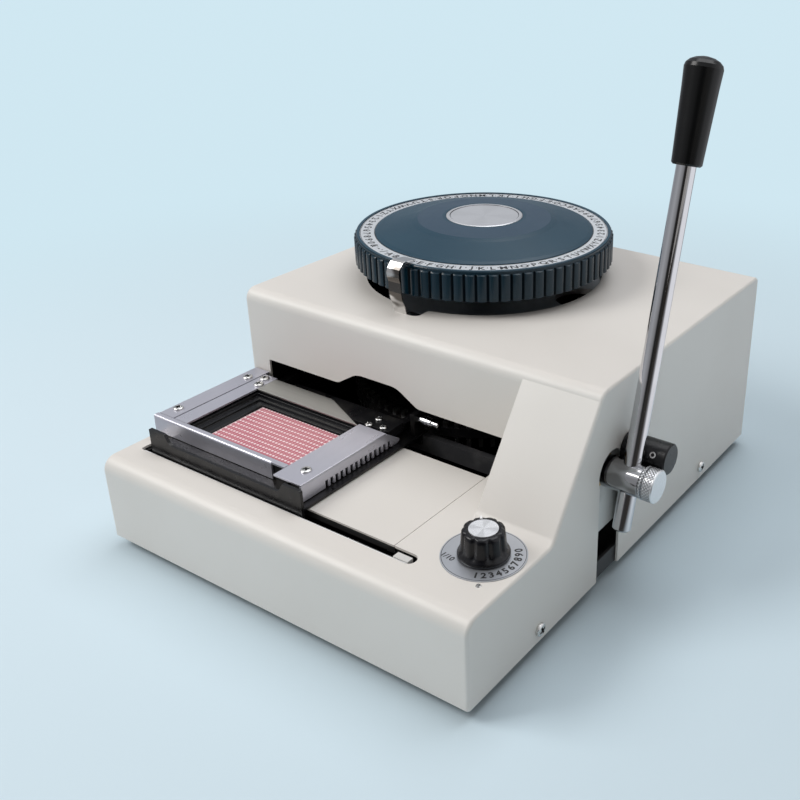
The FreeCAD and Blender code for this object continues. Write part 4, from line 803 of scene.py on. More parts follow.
def glyph_mesh(text: str, size: float, weight: float) -> bmesh.types.BMesh:
    """Make flat letters, centred on the origin with their tops towards +Y.

    Args:
        text: The characters.
        size: The height of a capital in metres.
        weight: How far the strokes are thickened, as a share of the size.

    Returns:
        The mesh of their faces.
    """
    curve = bpy.data.curves.new("glyph", "FONT")
    curve.body = text
    curve.size = size * CAPITAL_SHARE
    curve.offset = size * weight
    curve.resolution_u = 2
    thing = bpy.data.objects.new("glyph", curve)
    bpy.context.scene.collection.objects.link(thing)
    bpy.context.view_layer.update()
    mesh = bpy.data.meshes.new_from_object(thing)
    shape = bmesh.new()
    shape.from_mesh(mesh)
    bpy.data.objects.remove(thing)
    bpy.data.curves.remove(curve)
    bpy.data.meshes.remove(mesh)
    if shape.verts:
        xs = [vert.co.x for vert in shape.verts]
        ys = [vert.co.y for vert in shape.verts]
        middle = Vector(((min(xs) + max(xs)) / 2, (min(ys) + max(ys)) / 2, 0))
        bmesh.ops.translate(shape, verts=shape.verts, vec=-middle)
    return shape


def add_to(whole: bmesh.types.BMesh, part: bmesh.types.BMesh, place: Matrix | None = None) -> None:
    """Add a copy of a mesh in its place and drop the original."""
    if place is not None:
        bmesh.ops.transform(part, matrix=place, verts=part.verts)
    mesh = bpy.data.meshes.new("part")
    part.to_mesh(mesh)
    part.free()
    whole.from_mesh(mesh)
    bpy.data.meshes.remove(mesh)


def around(centre: Vector, radius: float, angle: float, facing: float | None = None) -> Matrix:
    """Place something on a circle about an upright axis.

    Args:
        centre: The circle's centre in metres.
        radius: Its radius in millimetres.
        angle: Where on the circle, in degrees from +X.
        facing: How far the thing is turned, or None to point its top to the centre.

    Returns:
        The matrix of its place.
    """
    turn = math.radians(angle)
    out = Vector((math.cos(turn), math.sin(turn), 0)) * (radius / 1000)
    lean = turn + math.pi / 2 if facing is None else math.radians(facing)
    return Matrix.Translation(centre + out) @ Matrix.Rotation(lean, 4, "Z")


def bridge(shape: bmesh.types.BMesh, loops: Sequence[Sequence[Any]], closed: bool = False) -> None:
    """Fill the faces between each loop of corners and the next; a loop may be one point."""
    pairs = list(zip(loops, loops[1:]))
    if closed:
        pairs.append((loops[-1], loops[0]))
    for near, far in pairs:
        count = max(len(near), len(far))
        for index in range(count):
            after = (index + 1) % count
            corners = [near[index % len(near)], near[after % len(near)]]
            corners += [far[after % len(far)], far[index % len(far)]]
            shape.faces.new(list(dict.fromkeys(corners)))


def bar_mesh(width: float, length: float, height: float = 0.0) -> bmesh.types.BMesh:
    """Make a flat or raised bar along Y, centred on the origin."""
    shape = bmesh.new()
    half_w, half_l = width / 2, length / 2
    corners = [(-half_w, -half_l), (half_w, -half_l), (half_w, half_l), (-half_w, half_l)]
    face = shape.faces.new([shape.verts.new((x, y, 0)) for x, y in corners])
    if height:
        raised = bmesh.ops.extrude_face_region(shape, geom=[face])
        top = [item for item in raised["geom"] if isinstance(item, bmesh.types.BMVert)]
        bmesh.ops.translate(shape, verts=top, vec=(0, 0, height))
    return shape


def lathe(points: Sequence[Pair], steps: int, reach: Reach | None = None) -> bmesh.types.BMesh:
    """Turn an outline about the Z axis.

    Args:
        points: (radius, z) of the outline, in order; a radius of 0 is a single point.
        steps: How many parts the circle has.
        reach: Gives the radius for a radius, a height and an angle, or None for a plain circle.

    Returns:
        The mesh.
    """
    shape = bmesh.new()
    angles = [2 * math.pi * step / steps for step in range(steps)]
    rings = []
    for radius, z in points:
        if radius == 0:
            rings.append([shape.verts.new((0, 0, z))])
            continue
        radii = [reach(radius, z, angle) if reach else radius for angle in angles]
        spots = [(r * math.cos(a), r * math.sin(a), z) for r, a in zip(radii, angles)]
        rings.append([shape.verts.new(spot) for spot in spots])
    bridge(shape, rings)
    bmesh.ops.recalc_face_normals(shape, faces=shape.faces)
    return shape


def slab(corners: Sequence[Vector], along: Vector) -> bmesh.types.BMesh:
    """Extrude a flat outline.

    Args:
        corners: The outline's corners in order.
        along: The vector of its thickness.

    Returns:
        The closed mesh.
    """
    shape = bmesh.new()
    low = [shape.verts.new(corner) for corner in corners]
    high = [shape.verts.new(corner + along) for corner in corners]
    shape.faces.new(low)
    shape.faces.new(high[::-1])
    bridge(shape, [low, high])
    bmesh.ops.recalc_face_normals(shape, faces=shape.faces)
    return shape


def sheet(corners: Sequence[Pair], z: float, thickness: float) -> bmesh.types.BMesh:
    """Make a level plate from (x, y) corners in cover millimetres."""
    return slab([at(x, y, z) for x, y in corners], Vector((0, 0, thickness / 1000)))


@dataclass
class IndexDial:
    """The marks of the index dial: one character for each type station."""

    characters: str = f"{LETTERS}{DIGITS}{LETTERS}{DIGITS}&-/"
    letter_mm: float = 5.0
    letter_radius: float = 81.7
    weight: float = 0.035
    tick_mm: float = 1.3
    tick_w_mm: float = 0.7
    tick_radius: float = 81.0
    start_deg: float = -103.2

    def build(self, workshop: Workshop) -> None:
        """Build the ring of characters and the ticks between them."""
        whole = bmesh.new()
        centre = at(*DIAL_CENTRE, RING_TOP + INK_LIFT)
        pitch = 360.0 / len(self.characters)
        for index, letter in enumerate(self.characters):
            angle = self.start_deg + index * pitch
            mark = glyph_mesh(letter, self.letter_mm / 1000, self.weight)
            add_to(whole, mark, around(centre, self.letter_radius, angle))
            tick = bar_mesh(self.tick_w_mm / 1000, self.tick_mm / 1000)
            add_to(whole, tick, around(centre, self.tick_radius, angle + pitch / 2))
        workshop.piece("ring_marks", whole, "dial_and_wheels", Slot.BLACK, BLACK_INK)


@dataclass
class DialBody:
    """The dial with one convex rib for each station, under a smooth lip."""

    ribs: int = 75
    rib_steps: int = 8
    rib_depth: float = 1.7
    rib_swell: float = 0.55
    lip_r: float = 89.1
    rib_top: float = RING_TOP - 1.5
    rim_low: float = FOOT_H + 138.5
    rim_from: Pair = (86.8, 167.1)
    groove_shade_below: Pair = (89.4, 165.0)
    plateau_sheen: Pair = (29.1, 47.5)

    def _outline(self) -> list[Pair]:
        """List (radius, z) in millimetres from the middle of the top to the hollow underside."""
        lip, high, low = self.lip_r, self.rib_top, self.rim_low
        top = [(0, 175.5), (26.9, 175.5), (26.9, 176.3), (29.1, 176.3), (46.5, 174.9)]
        top += [(48.6, 174.3), (51.0, 173.5), (73.2, 168.3), (75.9, 167.2), (76.0, 167.0)]
        rim = [(76.0, 166.0), (86.7, 166.0), (86.7, 167.3), (lip - 0.6, 167.3), (lip, 166.7)]
        rim += [(lip, high), (lip - 0.4, high - 0.1), (lip - 0.3, high - 0.8), (lip - 0.3, 156.0)]
        rim += [(lip - 0.3, low + 0.6), (lip - 1.0, low)]
        under = [(84.0, low), (84.0, 163.0), (48.0, 169.5), (16.0, 170.5), (16.0, 143.5)]
        return top + rim + under + [(8.0, 143.5), (8.0, 167.7), (0, 167.7)]

    def _reach(self, radius: float, z: float, angle: float) -> float:
        """Push the ribs out between the grooves."""
        ribbed = (self.lip_r - 0.45) / 1000 < radius < self.lip_r / 1000
        if not ribbed or z > self.rib_top / 1000:
            return radius
        part = (angle * self.ribs / (2 * math.pi)) % 1.0
        swell = (1 - (2 * part - 1) ** 2) ** self.rib_swell
        share = 1.0 if radius > (self.lip_r - 0.35) / 1000 else 0.55
        return radius + self.rib_depth * share * swell / 1000

    def _finish_of(self, spot: Vector) -> int:
        """Return which finish a face has, from its middle about the dial's axis."""
        radius, z = spot.xy.length * 1000, spot.z * 1000
        # The rim's side takes the painted-shade copy, the deep groove faces the darker painted
        # shade, and the plateau the painted sheen.
        if radius > self.rim_from[0] and z < self.rim_from[1]:
            return 2 if radius < self.groove_shade_below[0] and z < self.groove_shade_below[1] else 1
        return 3 if self.plateau_sheen[0] < radius < self.plateau_sheen[1] else 0

    def build(self, workshop: Workshop) -> None:
        """Build the dial in place of its solid."""
        outline = [(radius / 1000, z / 1000) for radius, z in self._outline()]
        shape = lathe(outline, self.ribs * self.rib_steps, self._reach)
        for face in shape.faces:
            face.material_index = self._finish_of(face.calc_center_median())
        bmesh.ops.translate(shape, verts=shape.verts, vec=at(*DIAL_CENTRE, 0))
        finishes = (DIAL_TEAL, DIAL_RIM_SHADED, DIAL_GROOVE_SHADE, DIAL_PLATEAU_SHEEN)
        piece = workshop.piece("dial_body", shape, "dial_and_wheels", Slot.BLACK, *finishes)
        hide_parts("dial")


@dataclass
class CrossScrew:
    """A pan-head screw with a cross recess, made once and set many times; sizes in metres."""

    radius: float
    height: float
    shank_r: float
    shank_l: float
    steps: int = 32
    dome_steps: int = 6
    dome_from: float = 0.45
    dome_power: float = 0.6
    cross_reach: float = 0.72
    cross_width: float = 0.20
    cross_depth: float = 0.8
    cross_taper: Pair = (0.45, 0.7)

    def _cutter(self) -> bpy.types.Object:
        """Make the tapered cross that cuts the recess."""
        shape = bmesh.new()
        reach, width = self.radius * self.cross_reach, self.radius * self.cross_width
        levels = (
            (*self.cross_taper, self.height * (1 - self.cross_depth)),
            (1.0, 1.0, self.height * 1.2),
        )
        for quarter in (0.0, math.pi / 2):
            blade = bmesh.new()
            loops = []
            for along, across, z in levels:
                x, y = reach * along, width * across
                corners = ((-x, -y), (x, -y), (x, y), (-x, y))
                loops.append([blade.verts.new((*corner, z)) for corner in corners])
            blade.faces.new(loops[0][::-1])
            blade.faces.new(loops[1])
            bridge(blade, loops)
            add_to(shape, blade, Matrix.Rotation(quarter, 4, "Z"))
        mesh = bpy.data.meshes.new("cross")
        shape.to_mesh(mesh)
        shape.free()
        return bpy.data.objects.new("cross", mesh)

    def _outline(self) -> list[Pair]:
        """List (radius, z) from the shank's end to the top of the head."""
        low = self.height * self.dome_from
        outline = [(0.0, -self.shank_l), (self.shank_r, -self.shank_l), (self.shank_r, 0.0)]
        outline += [(self.radius * 0.96, 0.0), (self.radius, self.height * 0.08)]
        for step in range(self.dome_steps):
            turn = math.pi / 2 * step / self.dome_steps
            radius = self.radius * math.cos(turn) ** self.dome_power
            outline.append((radius, low + (self.height - low) * math.sin(turn)))
        return outline + [(0.0, self.height)]

    def mesh(self) -> bpy.types.Mesh:
        """Return the screw's mesh, head up and seated on z = 0."""
        shape = lathe(self._outline(), self.steps)
        mesh = bpy.data.meshes.new("screw")
        shape.to_mesh(mesh)
        shape.free()
        body = bpy.data.objects.new("screw", mesh)
        cutter = self._cutter()
        for thing in (body, cutter):
            bpy.context.scene.collection.objects.link(thing)
        cut = body.modifiers.new("recess", "BOOLEAN")
        cut.object = cutter
        cut.operation = "DIFFERENCE"
        cut.solver = "EXACT"
        cut.use_self = True
        bpy.context.view_layer.update()
        ready = body.evaluated_get(bpy.context.evaluated_depsgraph_get())
        result = bpy.data.meshes.new_from_object(ready)
        # Faces deep inside the cross recess take the second finish, a near-black painted shade.
        for side in result.polygons:
            deep = 0 < side.center.z < self.height * 0.8
            inner = side.center.xy.length < self.radius * (self.cross_reach + 0.01)
            side.material_index = int(deep and inner)
        bpy.data.objects.remove(body)
        bpy.data.objects.remove(cutter)
        return result


Setting = tuple[CrossScrew, Vector, Vector, float]


@dataclass
class ScrewPlan:
    """Where the screws of one node sit, which way their heads face and how they are turned."""

    node: str
    body: str
    sets: list[Setting]

    def build(self, workshop: Workshop) -> None:
        """Build the screws as one piece that stands for their node."""
        whole = bmesh.new()
        meshes: dict[int, bpy.types.Mesh] = {}
        for screw, place, facing, twist in self.sets:
            if id(screw) not in meshes:
                meshes[id(screw)] = screw.mesh()
            part = bmesh.new()
            part.from_mesh(meshes[id(screw)])
            turn = facing.to_track_quat("Z", "Y").to_matrix().to_4x4()
            spin = Matrix.Rotation(math.radians(twist), 4, "Z")
            add_to(whole, part, Matrix.Translation(place) @ turn @ spin)
        for face in whole.faces:
            face.smooth = False
        finishes = (SCREW_STEEL, RECESS_SHADE)
        piece = workshop.piece(f"{self.node}_set", whole, self.body, Slot.STEEL, *finishes)
        workshop.soften(piece, 0.06, 1, 50.0)
        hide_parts(self.node)


@dataclass
class Fasteners:
    """All the screws that show."""

    large: CrossScrew = field(default_factory=lambda: CrossScrew(0.0033, 0.0015, 0.0012, 0.0005))
    small: CrossScrew = field(default_factory=lambda: CrossScrew(0.0025, 0.0014, 0.0010, 0.0005))
    side: CrossScrew = field(default_factory=lambda: CrossScrew(0.0040, 0.0024, 0.0020, 0.0050))
    strip_places: tuple[Point, ...] = ((9.0, 53.6, 20.0), (11.2, 110.0, 65.0))
    bar_places: tuple[Point, ...] = ((22.4, 114.8, 35.0), (25.7, 106.4, 10.0), (131.6, 44.0, 50.0))
    plate_places: tuple[Point, ...] = (
        (123.3, 107.3, 15.0), (123.8, 116.2, 40.0), (133.4, 109.2, 70.0),
    )
    side_places: tuple[Point, ...] = ((65.0, 8.3, 25.0), (270.5, 9.6, 60.0))

    def _level(self, screw: CrossScrew, places: tuple[Point, ...], z: float) -> list[Setting]:
        """Set screws upright; a place is x, y and the head's turn in degrees."""
        return [(screw, at(x, y, z), Vector((0, 0, 1)), twist) for x, y, twist in places]

    def plans(self) -> list[ScrewPlan]:
        """List the screws of each node."""
        strip = self._level(self.large, self.strip_places, FRAME_TOP)
        bar = self._level(self.large, self.bar_places, FRAME_TOP)
        bar += self._level(self.small, self.plate_places, SHEET_LOW)
        sides = []
        for x, out in ((0.0, -1), (COVER_W, 1)):
            for y, z, twist in self.side_places:
                sides.append((self.side, at(x, y, FOOT_H + z), Vector((out, 0, 0)), twist))
        return [
            ScrewPlan("strip_screws", "carriage", strip),
            ScrewPlan("frame_screws", "card_frame", bar),
            ScrewPlan("cover_screws", "chassis", sides),
        ]

    def build(self, workshop: Workshop) -> None:
        """Build every set of screws."""
        for plan in self.plans():
            plan.build(workshop)


@dataclass
class PitchSelector:
    """The pitch selector: its fluted knob, the knob's line and the plain numbers on its disc."""

    fraction: str = "1/10"
    fraction_mm: float = 3.5
    fraction_weight: float = 0.04
    fraction_at: Pair = (18.9, 221.0)
    fraction_turn: float = -8.0
    arc_text: str = DIGITS
    arc_mm: float = 4.3
    arc_weight: float = 0.05
    arc_radius: float = 18.7
    arc_span: Pair = (-67.0, 44.0)
    disc_t: float = 0.6
    knob_steps: int = 144
    flutes: int = 9
    flute_depth: float = 1.15
    flute_sharpness: float = 4.0
    flute_rise: Pair = (3.6, 6.2)
    flute_reach: Pair = (9.0, 11.2)
    line_at: Pair = (10.4, 133.4)
    line_size: Point = (0.0014, 0.0026, 0.0006)
    line_sink: float = 0.55

    def _outline(self) -> list[Pair]:
        """List (radius, z) of the knob in millimetres, from its foot to its top."""
        low = DECK_TOP + 0.9
        sides = [(0, low), (13.9, low), (14.4, low + 0.6), (14.4, low + 1.7), (13.8, low + 2.9)]
        sides += [(13.0, low + 3.9), (12.7, low + 5.0), (12.4, low + 8.0), (12.0, low + 13.0)]
        sides += [(11.8, low + 14.6), (11.4, low + 15.4), (10.7, low + 15.9), (9.4, low + 16.05)]
        return sides + [(8.6, low + 16.0), (8.35, low + 15.7), (8.35, low + 15.3), (0, low + 15.3)]

    def _reach(self, radius: float, z: float, angle: float) -> float:
        """Press rounded flutes into the knob's side."""
        rise = ramp(z * 1000 - DECK_TOP, self.flute_rise)
        inward = ramp(radius * 1000, self.flute_reach)
        wave = (0.5 + 0.5 * math.cos(self.flutes * angle)) ** self.flute_sharpness
        return radius - self.flute_depth * wave * rise * inward / 1000

    def _marks(self, workshop: Workshop) -> None:
        """Build the numbers on the disc."""
        centre = at(*KNOB_CENTRE, DECK_TOP + self.disc_t + INK_LIFT)
        whole = bmesh.new()
        mark = glyph_mesh(self.fraction, self.fraction_mm / 1000, self.fraction_weight)
        add_to(whole, mark, around(centre, *self.fraction_at, self.fraction_turn))
        first, last = self.arc_span
        for index, letter in enumerate(self.arc_text):
            angle = first + (last - first) * index / (len(self.arc_text) - 1)
            mark = glyph_mesh(letter, self.arc_mm / 1000, self.arc_weight)
            add_to(whole, mark, around(centre, self.arc_radius, angle))
        workshop.piece("selector_marks", whole, "chassis", Slot.BLACK, BLACK_INK)

    def build(self, workshop: Workshop) -> None:
        """Build the disc's numbers, the knob and its line."""
        self._marks(workshop)
        outline = [(radius / 1000, z / 1000) for radius, z in self._outline()]
        knob = lathe(outline, self.knob_steps, self._reach)
        for face in knob.faces:
            face.smooth = True
        bmesh.ops.translate(knob, verts=knob.verts, vec=at(*KNOB_CENTRE, 0))
        piece = workshop.piece("fluted_knob", knob, "pitch_selector", Slot.BLACK, KNOB_BLACK)
        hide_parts("pitch_knob")
        line = bmesh.new()
        centre = at(*KNOB_CENTRE, KNOB_TOP - self.line_sink)
        add_to(line, bar_mesh(*self.line_size), around(centre, *self.line_at))
        workshop.piece("knob_line", line, "pitch_selector", Slot.WHITE, WHITE_INK)


@dataclass
class CardFrame:
    """The sheet parts round the card whose outlines are finer than their solids."""

    sheet_t: float = 1.2
    notches: int = 14
    notch_pitch: float = 25.4 / 6
    notch_w: float = 2.2
    notch_h: float = 4.8
    notch_mid_y: float = 78.3
    bar_x: Pair = (118.8, 140.6)
    bar_y: Pair = (30.5, 103.4)
    side_x: float = 139.1
    side_t: float = 1.5
    side_end: tuple[Pair, ...] = ((113.4, 0.0), (115.4, 0.9), (115.8, 2.4))
    matte: tuple[Pair, ...] = (
        (29.2, 101.6), (29.2, 118.7), (80.0, 118.7), (83.4, 117.8), (118.5, 101.6),
    )
    black: tuple[Pair, ...] = (
        (78.0, 107.0), (78.0, 122.0), (80.0, 124.0), (137.1, 124.0), (139.1, 122.0),
        (139.1, 107.0),
    )
    black_low: float = FOOT_H + 62.2

    def _comb(self, workshop: Workshop) -> None:
        """Build the right angle: its top bar and the notched side with its slanting end."""
        (x0, x1), (front, back) = self.bar_x, self.bar_y
        low, tip = FRAME_LOW, SHEET_LOW + 0.01
        edge, roof = [(front, tip), (front, low)], low + self.notch_h
        first = self.notch_mid_y - self.notch_pitch * (self.notches - 1) / 2
        for row in range(self.notches):
            middle = first + row * self.notch_pitch
            near, far = middle - self.notch_w / 2, middle + self.notch_w / 2
            edge += [(near, low), (near, roof), (far, roof), (far, low)]
        edge += [(y, low + rise) for y, rise in self.side_end] + [(back + 1.0, tip), (back, tip)]
        whole = bmesh.new()
        corners = [(x0, front), (x1, front), (x1, back), (x0, back)]
        add_to(whole, sheet(corners, SHEET_LOW, self.sheet_t))
        side = [at(self.side_x, y, z) for y, z in edge]
        add_to(whole, slab(side, Vector((self.side_t / 1000, 0, 0))))
        piece = workshop.piece("notched_angle", whole, "card_frame", Slot.STEEL, FRAME_PLATE)
        workshop.soften(piece, 0.25)
        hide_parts("comb_angle")

    def _plates(self, workshop: Workshop) -> None:
        """Build the matte back plate and the black plate behind it."""
        back = sheet(self.matte, SHEET_LOW, self.sheet_t)
        piece = workshop.piece("slanted_plate", back, "card_frame", Slot.SATIN, MATTE_BAR)
        workshop.soften(piece, 0.2)
        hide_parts("back_plate")
        rear = sheet(self.black, self.black_low, SHEET_LOW - self.black_low)
        piece = workshop.piece("rear_plate", rear, "card_frame", Slot.BLACK, BLACK_METAL)
        workshop.soften(piece, 0.3)
        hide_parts("bracket_plate")

    def _steps(self, workshop: Workshop) -> None:
        """Build the stepped ledges inside the seat that frame the visible part of the card."""
        rings = [
            (42.3, 45.9, 116.4, 93.6, 0.06),
            (31.1, 45.3, 116.9, 99.5, 0.06),
            (31.1, 45.3, 116.9, 99.5, 2.42),
            (29.3, 43.5, 118.7, 101.3, 2.46),
            (29.3, 43.5, 118.7, 101.3, 4.6),
            (30.8, 44.0, 118.3, 100.2, 4.6),
            (31.6, 44.3, 118.0, 99.4, 2.9),
            (35.6, 44.6, 117.6, 97.0, 2.7),
            (36.2, 44.9, 117.3, 96.4, 1.5),
            (41.2, 45.5, 116.7, 94.3, 1.3),
            (42.1, 45.8, 116.5, 93.7, 0.4),
        ]
        shape = bmesh.new()
        loops = []
        for x0, y0, x1, y1, rise in rings:
            z = CARD_TOP + rise
            spots = (at(x0, y0, z), at(x1, y0, z), at(x1, y1, z), at(x0, y1, z))
            loops.append([shape.verts.new(spot) for spot in spots])
        bridge(shape, loops, closed=True)
        bmesh.ops.recalc_face_normals(shape, faces=shape.faces)
        piece = workshop.piece("seat_steps", shape, "card_frame", Slot.BLACK, SEAT_BLACK)
        workshop.soften(piece, 0.12)

    def build(self, workshop: Workshop) -> None:
        """Build the angle, the two plates and the ledges."""
        self._comb(workshop)
        self._plates(workshop)
        self._steps(workshop)


@dataclass
class PointerStrip:
    """The bent chrome pointer that stands on the bridge and hooks over the index ring."""

    x: float = 114.7
    width: float = 10.0
    thickness: float = 0.8
    foot_x: float = 125.6
    foot_y: Pair = (152.3, 166.5)
    foot_z: float = FOOT_H + 122.0
    path: tuple[Pair, ...] = (
        (152.3, 122.4), (152.0, 128.5), (150.6, 133.5), (148.6, 138.3), (147.9, 143.0),
        (147.6, 149.9), (146.6, 153.6), (146.4, 156.2), (147.4, 158.8), (151.0, 162.4),
        (153.2, 163.1), (156.0, 162.6), (164.1, 161.3),
    )

    def build(self, workshop: Workshop) -> None:
        """Build the strip and its foot as one piece in place of the solid."""
        left = self.x - self.width / 2
        far = []
        last = len(self.path) - 1
        for index, (y, z) in enumerate(self.path):
            before, after = self.path[max(index - 1, 0)], self.path[min(index + 1, last)]
            along = Vector((after[0] - before[0], after[1] - before[1])).normalized()
            far.append((y + along.y * self.thickness, z - along.x * self.thickness))
        outline = [at(left, y, FOOT_H + z) for y, z in [*self.path, *far[::-1]]]
        whole = slab(outline, Vector((self.width / 1000, 0, 0)))
        front, back = self.foot_y
        corners = [(left, front), (self.foot_x, front), (self.foot_x, back), (left, back)]
        add_to(whole, sheet(corners, self.foot_z, self.thickness))
        piece = workshop.piece("bent_pointer", whole, "chassis", Slot.STEEL, CHROME_STRIP)
        workshop.soften(piece, 0.12)
        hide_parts("pointer")


@dataclass
class LeverFittings:
    """Small fittings of the lever: the hollow set screw of its stop."""

    middle: Point = (301.0, 158.2, FOOT_H + 79.6)
    stop_r: float = 9.6
    sink: float = 0.1
    screw_r: float = 1.9
    angle_deg: float = 150.0
    steps: int = 24
    levels: tuple[Pair, ...] = ((1.0, 0.0), (1.0, 0.35), (0.62, 0.35), (0.58, -0.9))

    def build(self, workshop: Workshop) -> None:
        """Build the set screw: a ring with a six-sided hollow."""
        shape = bmesh.new()
        rings = []
        for share, height in self.levels:
            ring = []
            for step in range(self.steps):
                turn = 2 * math.pi * step / self.steps
                radius = self.screw_r * share / 1000
                if share < 1:
                    part = (turn % (math.pi / 3)) - math.pi / 6
                    radius *= math.cos(math.pi / 6) / math.cos(part)
                spot = (radius * math.cos(turn), radius * math.sin(turn), height / 1000)
                ring.append(shape.verts.new(spot))
            rings.append(ring)
        bridge(shape, rings)
        shape.faces.new(rings[-1])
        turn = math.radians(self.angle_deg)
        facing = Vector((0, math.cos(turn), math.sin(turn)))
        place = at(*self.middle) + facing * ((self.stop_r - self.sink) / 1000)
        rotation = facing.to_track_quat("Z", "Y").to_matrix().to_4x4()
        whole = bmesh.new()
        add_to(whole, shape, Matrix.Translation(place) @ rotation)
        workshop.piece("stop_set_screw", whole, "chassis", Slot.STEEL, SCREW_STEEL)


@dataclass
class ReturnSpring:
    """The wound return spring under the upper press arm."""

    centre: Pair = (238.0, 120.0)
    coil_r: float = 7.0
    wire_r: float = 1.0
    turns: int = 9
    turn_steps: int = 28
    wire_steps: int = 10
    travel: float = 11.0

    def build(self, workshop: Workshop) -> None:
        """Wind the spring between its seat and the arm's pad."""
        heights = [vert.co.z * 1000 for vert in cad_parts["return_spring"].data.vertices]
        low, high = min(heights), max(heights)
        shape = bmesh.new()
        rings = []
        count = self.turns * self.turn_steps
        for step in range(count + 1):
            turn = 2 * math.pi * step / self.turn_steps
            middle = low + self.wire_r + (high - low - 2 * self.wire_r) * step / count
            ring = []
            for part in range(self.wire_steps):
                lean = 2 * math.pi * part / self.wire_steps
                radius = self.coil_r + self.wire_r * math.cos(lean)
                x = self.centre[0] + radius * math.cos(turn)
                y = self.centre[1] + radius * math.sin(turn)
                ring.append(shape.verts.new(at(x, y, middle + self.wire_r * math.sin(lean))))
            rings.append(ring)
        bridge(shape, rings)
        shape.faces.new(rings[0])
        shape.faces.new(rings[-1])
        bmesh.ops.recalc_face_normals(shape, faces=shape.faces)
        piece = workshop.piece("wound_spring", shape, "chassis", Slot.STEEL, BARE_STEEL)
        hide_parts("return_spring")
        foot = tuple(at(*self.centre, low))
        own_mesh(piece)


@dataclass(frozen=True)
class Lamp:
    """A square lamp that faces the object."""

    name: str
    place: Point
    aim_z: float
    size: float
    power: float
    colour: Colour

    def build(self) -> None:
        """Hang the lamp."""
        data = bpy.data.lights.new(self.name, "AREA")
        data.size = self.size
        data.energy = self.power
        data.color = self.colour
        thing = bpy.data.objects.new(self.name, data)
        direction = Vector((0, 0, self.aim_z)) - Vector(self.place)
        turn = direction.to_track_quat("-Z", "Y").to_matrix().to_4x4()
        thing.matrix_world = Matrix.Translation(self.place) @ turn
        bpy.context.scene.collection.objects.link(thing)


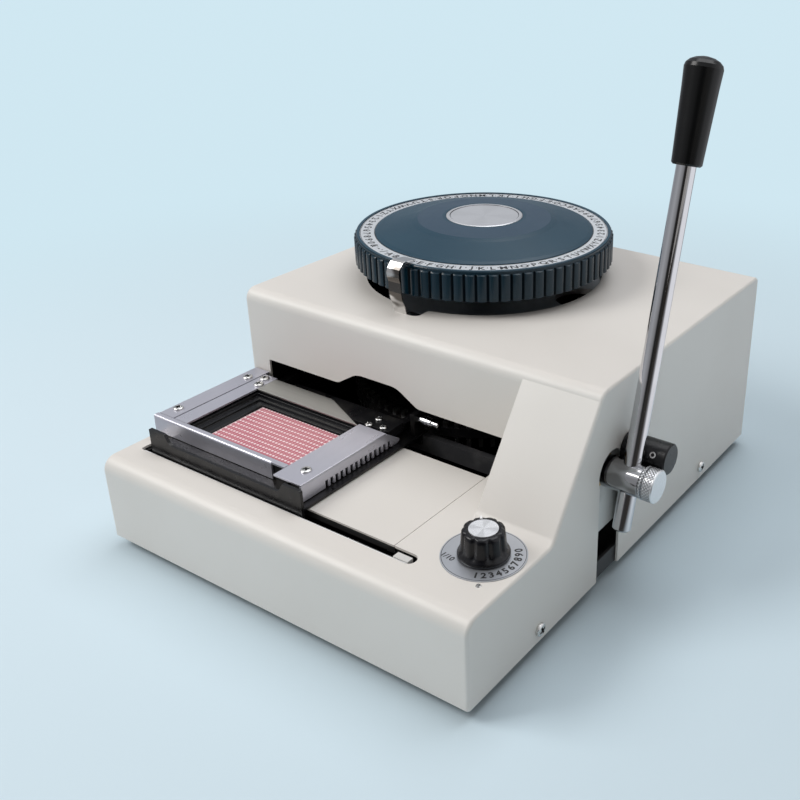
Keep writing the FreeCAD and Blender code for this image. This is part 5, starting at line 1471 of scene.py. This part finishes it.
@dataclass
class Studio:
    """Floor, lamps and camera."""

    eye: Point = (0.3679, -0.4859, 0.3907)
    yaw: float = -0.566
    pitch: float = 0.441
    roll: float = 0.015
    focal_px: float = 1027.063
    centre_px: Pair = (547.418, 361.14)
    picture_px: float = 800.0
    sensor_mm: float = 36.0
    ambient: float = 0.34
    walls: tuple[tuple[float, Colour], ...] = (
        (0.0, (0.30, 0.31, 0.33)),
        (1.0, (0.30, 0.31, 0.33)),
        (0.15, (0.42, 0.43, 0.45)),
        (0.26, (0.26, 0.26, 0.27)),
        (0.30, (0.02, 0.02, 0.02)),
        (0.42, (0.03, 0.026, 0.022)),
        (0.46, (0.22, 0.22, 0.23)),
        (0.50, (0.95, 0.96, 1.0)),
        (0.64, (0.95, 0.96, 1.0)),
        (0.72, (0.28, 0.29, 0.31)),
        (0.86, (0.40, 0.43, 0.47)),
    )
    ceiling: Colour = (0.62, 0.64, 0.67)
    ceiling_from: Pair = (0.45, 0.75)
    room_light: Colour = (0.84, 0.81, 0.785)
    floor_colour: Colour = (0.62, 0.75, 0.83)
    floor_reach: float = 6.0
    fade: Pair = (0.26, 0.85)
    mirror_fade: Pair = (0.16, 0.45)
    lamps: tuple[Lamp, ...] = (
        Lamp("key", (-1.1, -0.95, 1.4), 0.08, 0.95, 21.5, (1.0, 0.98, 0.955)),
        Lamp("top", (0.1, 0.5, 1.7), 0.1, 1.4, 13.6, (0.97, 0.98, 1.0)),
        Lamp("fill", (1.3, -0.7, 0.7), 0.08, 0.9, 0.8, (1.0, 0.97, 0.94)),
    )

    def camera(self) -> None:
        """Set the camera to the photograph's viewpoint."""
        level = Vector((math.cos(self.yaw), -math.sin(self.yaw), 0.0))
        ahead = Vector((math.sin(self.yaw), math.cos(self.yaw), 0.0))
        forward = math.cos(self.pitch) * ahead - Vector((0.0, 0.0, math.sin(self.pitch)))
        upright = level.cross(forward)
        right = math.cos(self.roll) * level + math.sin(self.roll) * upright
        above = -math.sin(self.roll) * level + math.cos(self.roll) * upright
        data = bpy.data.cameras.new("view")
        data.sensor_width = self.sensor_mm
        data.lens = self.focal_px / self.picture_px * self.sensor_mm
        half = self.picture_px / 2
        data.shift_x = (half - self.centre_px[0]) / self.picture_px
        data.shift_y = (self.centre_px[1] - half) / self.picture_px
        data.clip_start = 0.01
        thing = bpy.data.objects.new("view", data)
        turn = Matrix((right, above, -forward)).transposed().to_4x4()
        thing.matrix_world = Matrix.Translation(self.eye) @ turn
        bpy.context.scene.collection.objects.link(thing)
        bpy.context.scene.camera = thing

    def _walls(self, graph: Graph, x: Wire, y: Wire) -> Wire:
        """Return the wire of the walls' colour in a direction seen from the object."""
        turn = y.angle_from(x) / (2 * math.pi) + 0.5
        shades = graph.add("ShaderNodeValToRGB", {"stops": self.walls}, {0: turn})
        return Wire(graph, shades.outputs[0])

    def floor(self) -> None:
        """Lay a wide pale floor that bright metal sees as the room's walls."""
        shape = bmesh.new()
        reach = self.floor_reach
        corners = ((-reach, -reach), (reach, -reach), (reach, reach), (-reach, reach))
        shape.faces.new([shape.verts.new((x, y, 0)) for x, y in corners])
        mesh = bpy.data.meshes.new("floor")
        shape.to_mesh(mesh)
        shape.free()
        thing = bpy.data.objects.new("floor", mesh)
        bpy.context.scene.collection.objects.link(thing)
        graph = Graph("floor")
        x, y, _ = graph.axes()
        distance = x.length_with(y)
        far = distance.between(*self.fade)
        near = graph.mix(graph.noise(1.5, 2), self.floor_colour, shaded(self.floor_colour, 1.02))
        path = graph.add("ShaderNodeLightPath")
        away = distance.between(*self.mirror_fade) * Wire(graph, path.outputs["Is Glossy Ray"])
        ground = graph.mix(away, graph.mix(far, near, BLACK), BLACK)
        sky = graph.mix(away, graph.mix(far, BLACK, BACKDROP), self._walls(graph, x, y))
        graph.set(Base_Color=ground, Roughness=0.85, Specular_IOR_Level=0.1)
        graph.set(Emission_Color=sky, Emission_Strength=1.0)
        mesh.materials.append(graph.material)

    def world(self) -> None:
        """Light the room evenly, with darker walls that bright metal can mirror."""
        world = bpy.data.worlds.new("room")
        world.use_nodes = True
        tree = world.node_tree
        tree.nodes.clear()
        graph = Graph.__new__(Graph)
        graph.tree = tree
        coordinate = graph.add("ShaderNodeTexCoord")
        graph.place = Wire(graph, coordinate.outputs["Generated"])
        x, y, z = graph.axes()
        room = graph.mix(z.between(*self.ceiling_from), self._walls(graph, x, y), self.ceiling)
        path = graph.add("ShaderNodeLightPath")
        seen = Wire(graph, path.outputs["Is Camera Ray"])
        glossy = Wire(graph, path.outputs["Is Glossy Ray"])
        colour = graph.mix(seen, graph.mix(glossy, self.room_light, room), BACKDROP)
        strength = (seen + glossy) * (1 - self.ambient) + self.ambient
        back = graph.add("ShaderNodeBackground", None, {"Color": colour, "Strength": strength})
        out = graph.add("ShaderNodeOutputWorld")
        tree.links.new(back.outputs[0], out.inputs[0])
        bpy.context.scene.world = world

    def build(self) -> None:
        """Set up the whole studio."""
        self.camera()
        self.floor()
        self.world()
        for lamp in self.lamps:
            lamp.build()
        bpy.context.scene.view_settings.view_transform = "Standard"


def main() -> None:
    """Dress the solids and build every piece in order."""
    logging.basicConfig(level=logging.INFO, format="%(name)s: %(message)s")
    workshop = Workshop()
    workshop.dress_nodes()
    assemblies = (
        DialBody(),
        IndexDial(),
        Fasteners(),
        PitchSelector(),
        CardFrame(),
        PointerStrip(),
        LeverFittings(),
        ReturnSpring(),
    )
    for assembly in assemblies:
        assembly.build(workshop)
    Studio().build()


if __name__ == "__main__":
    main()
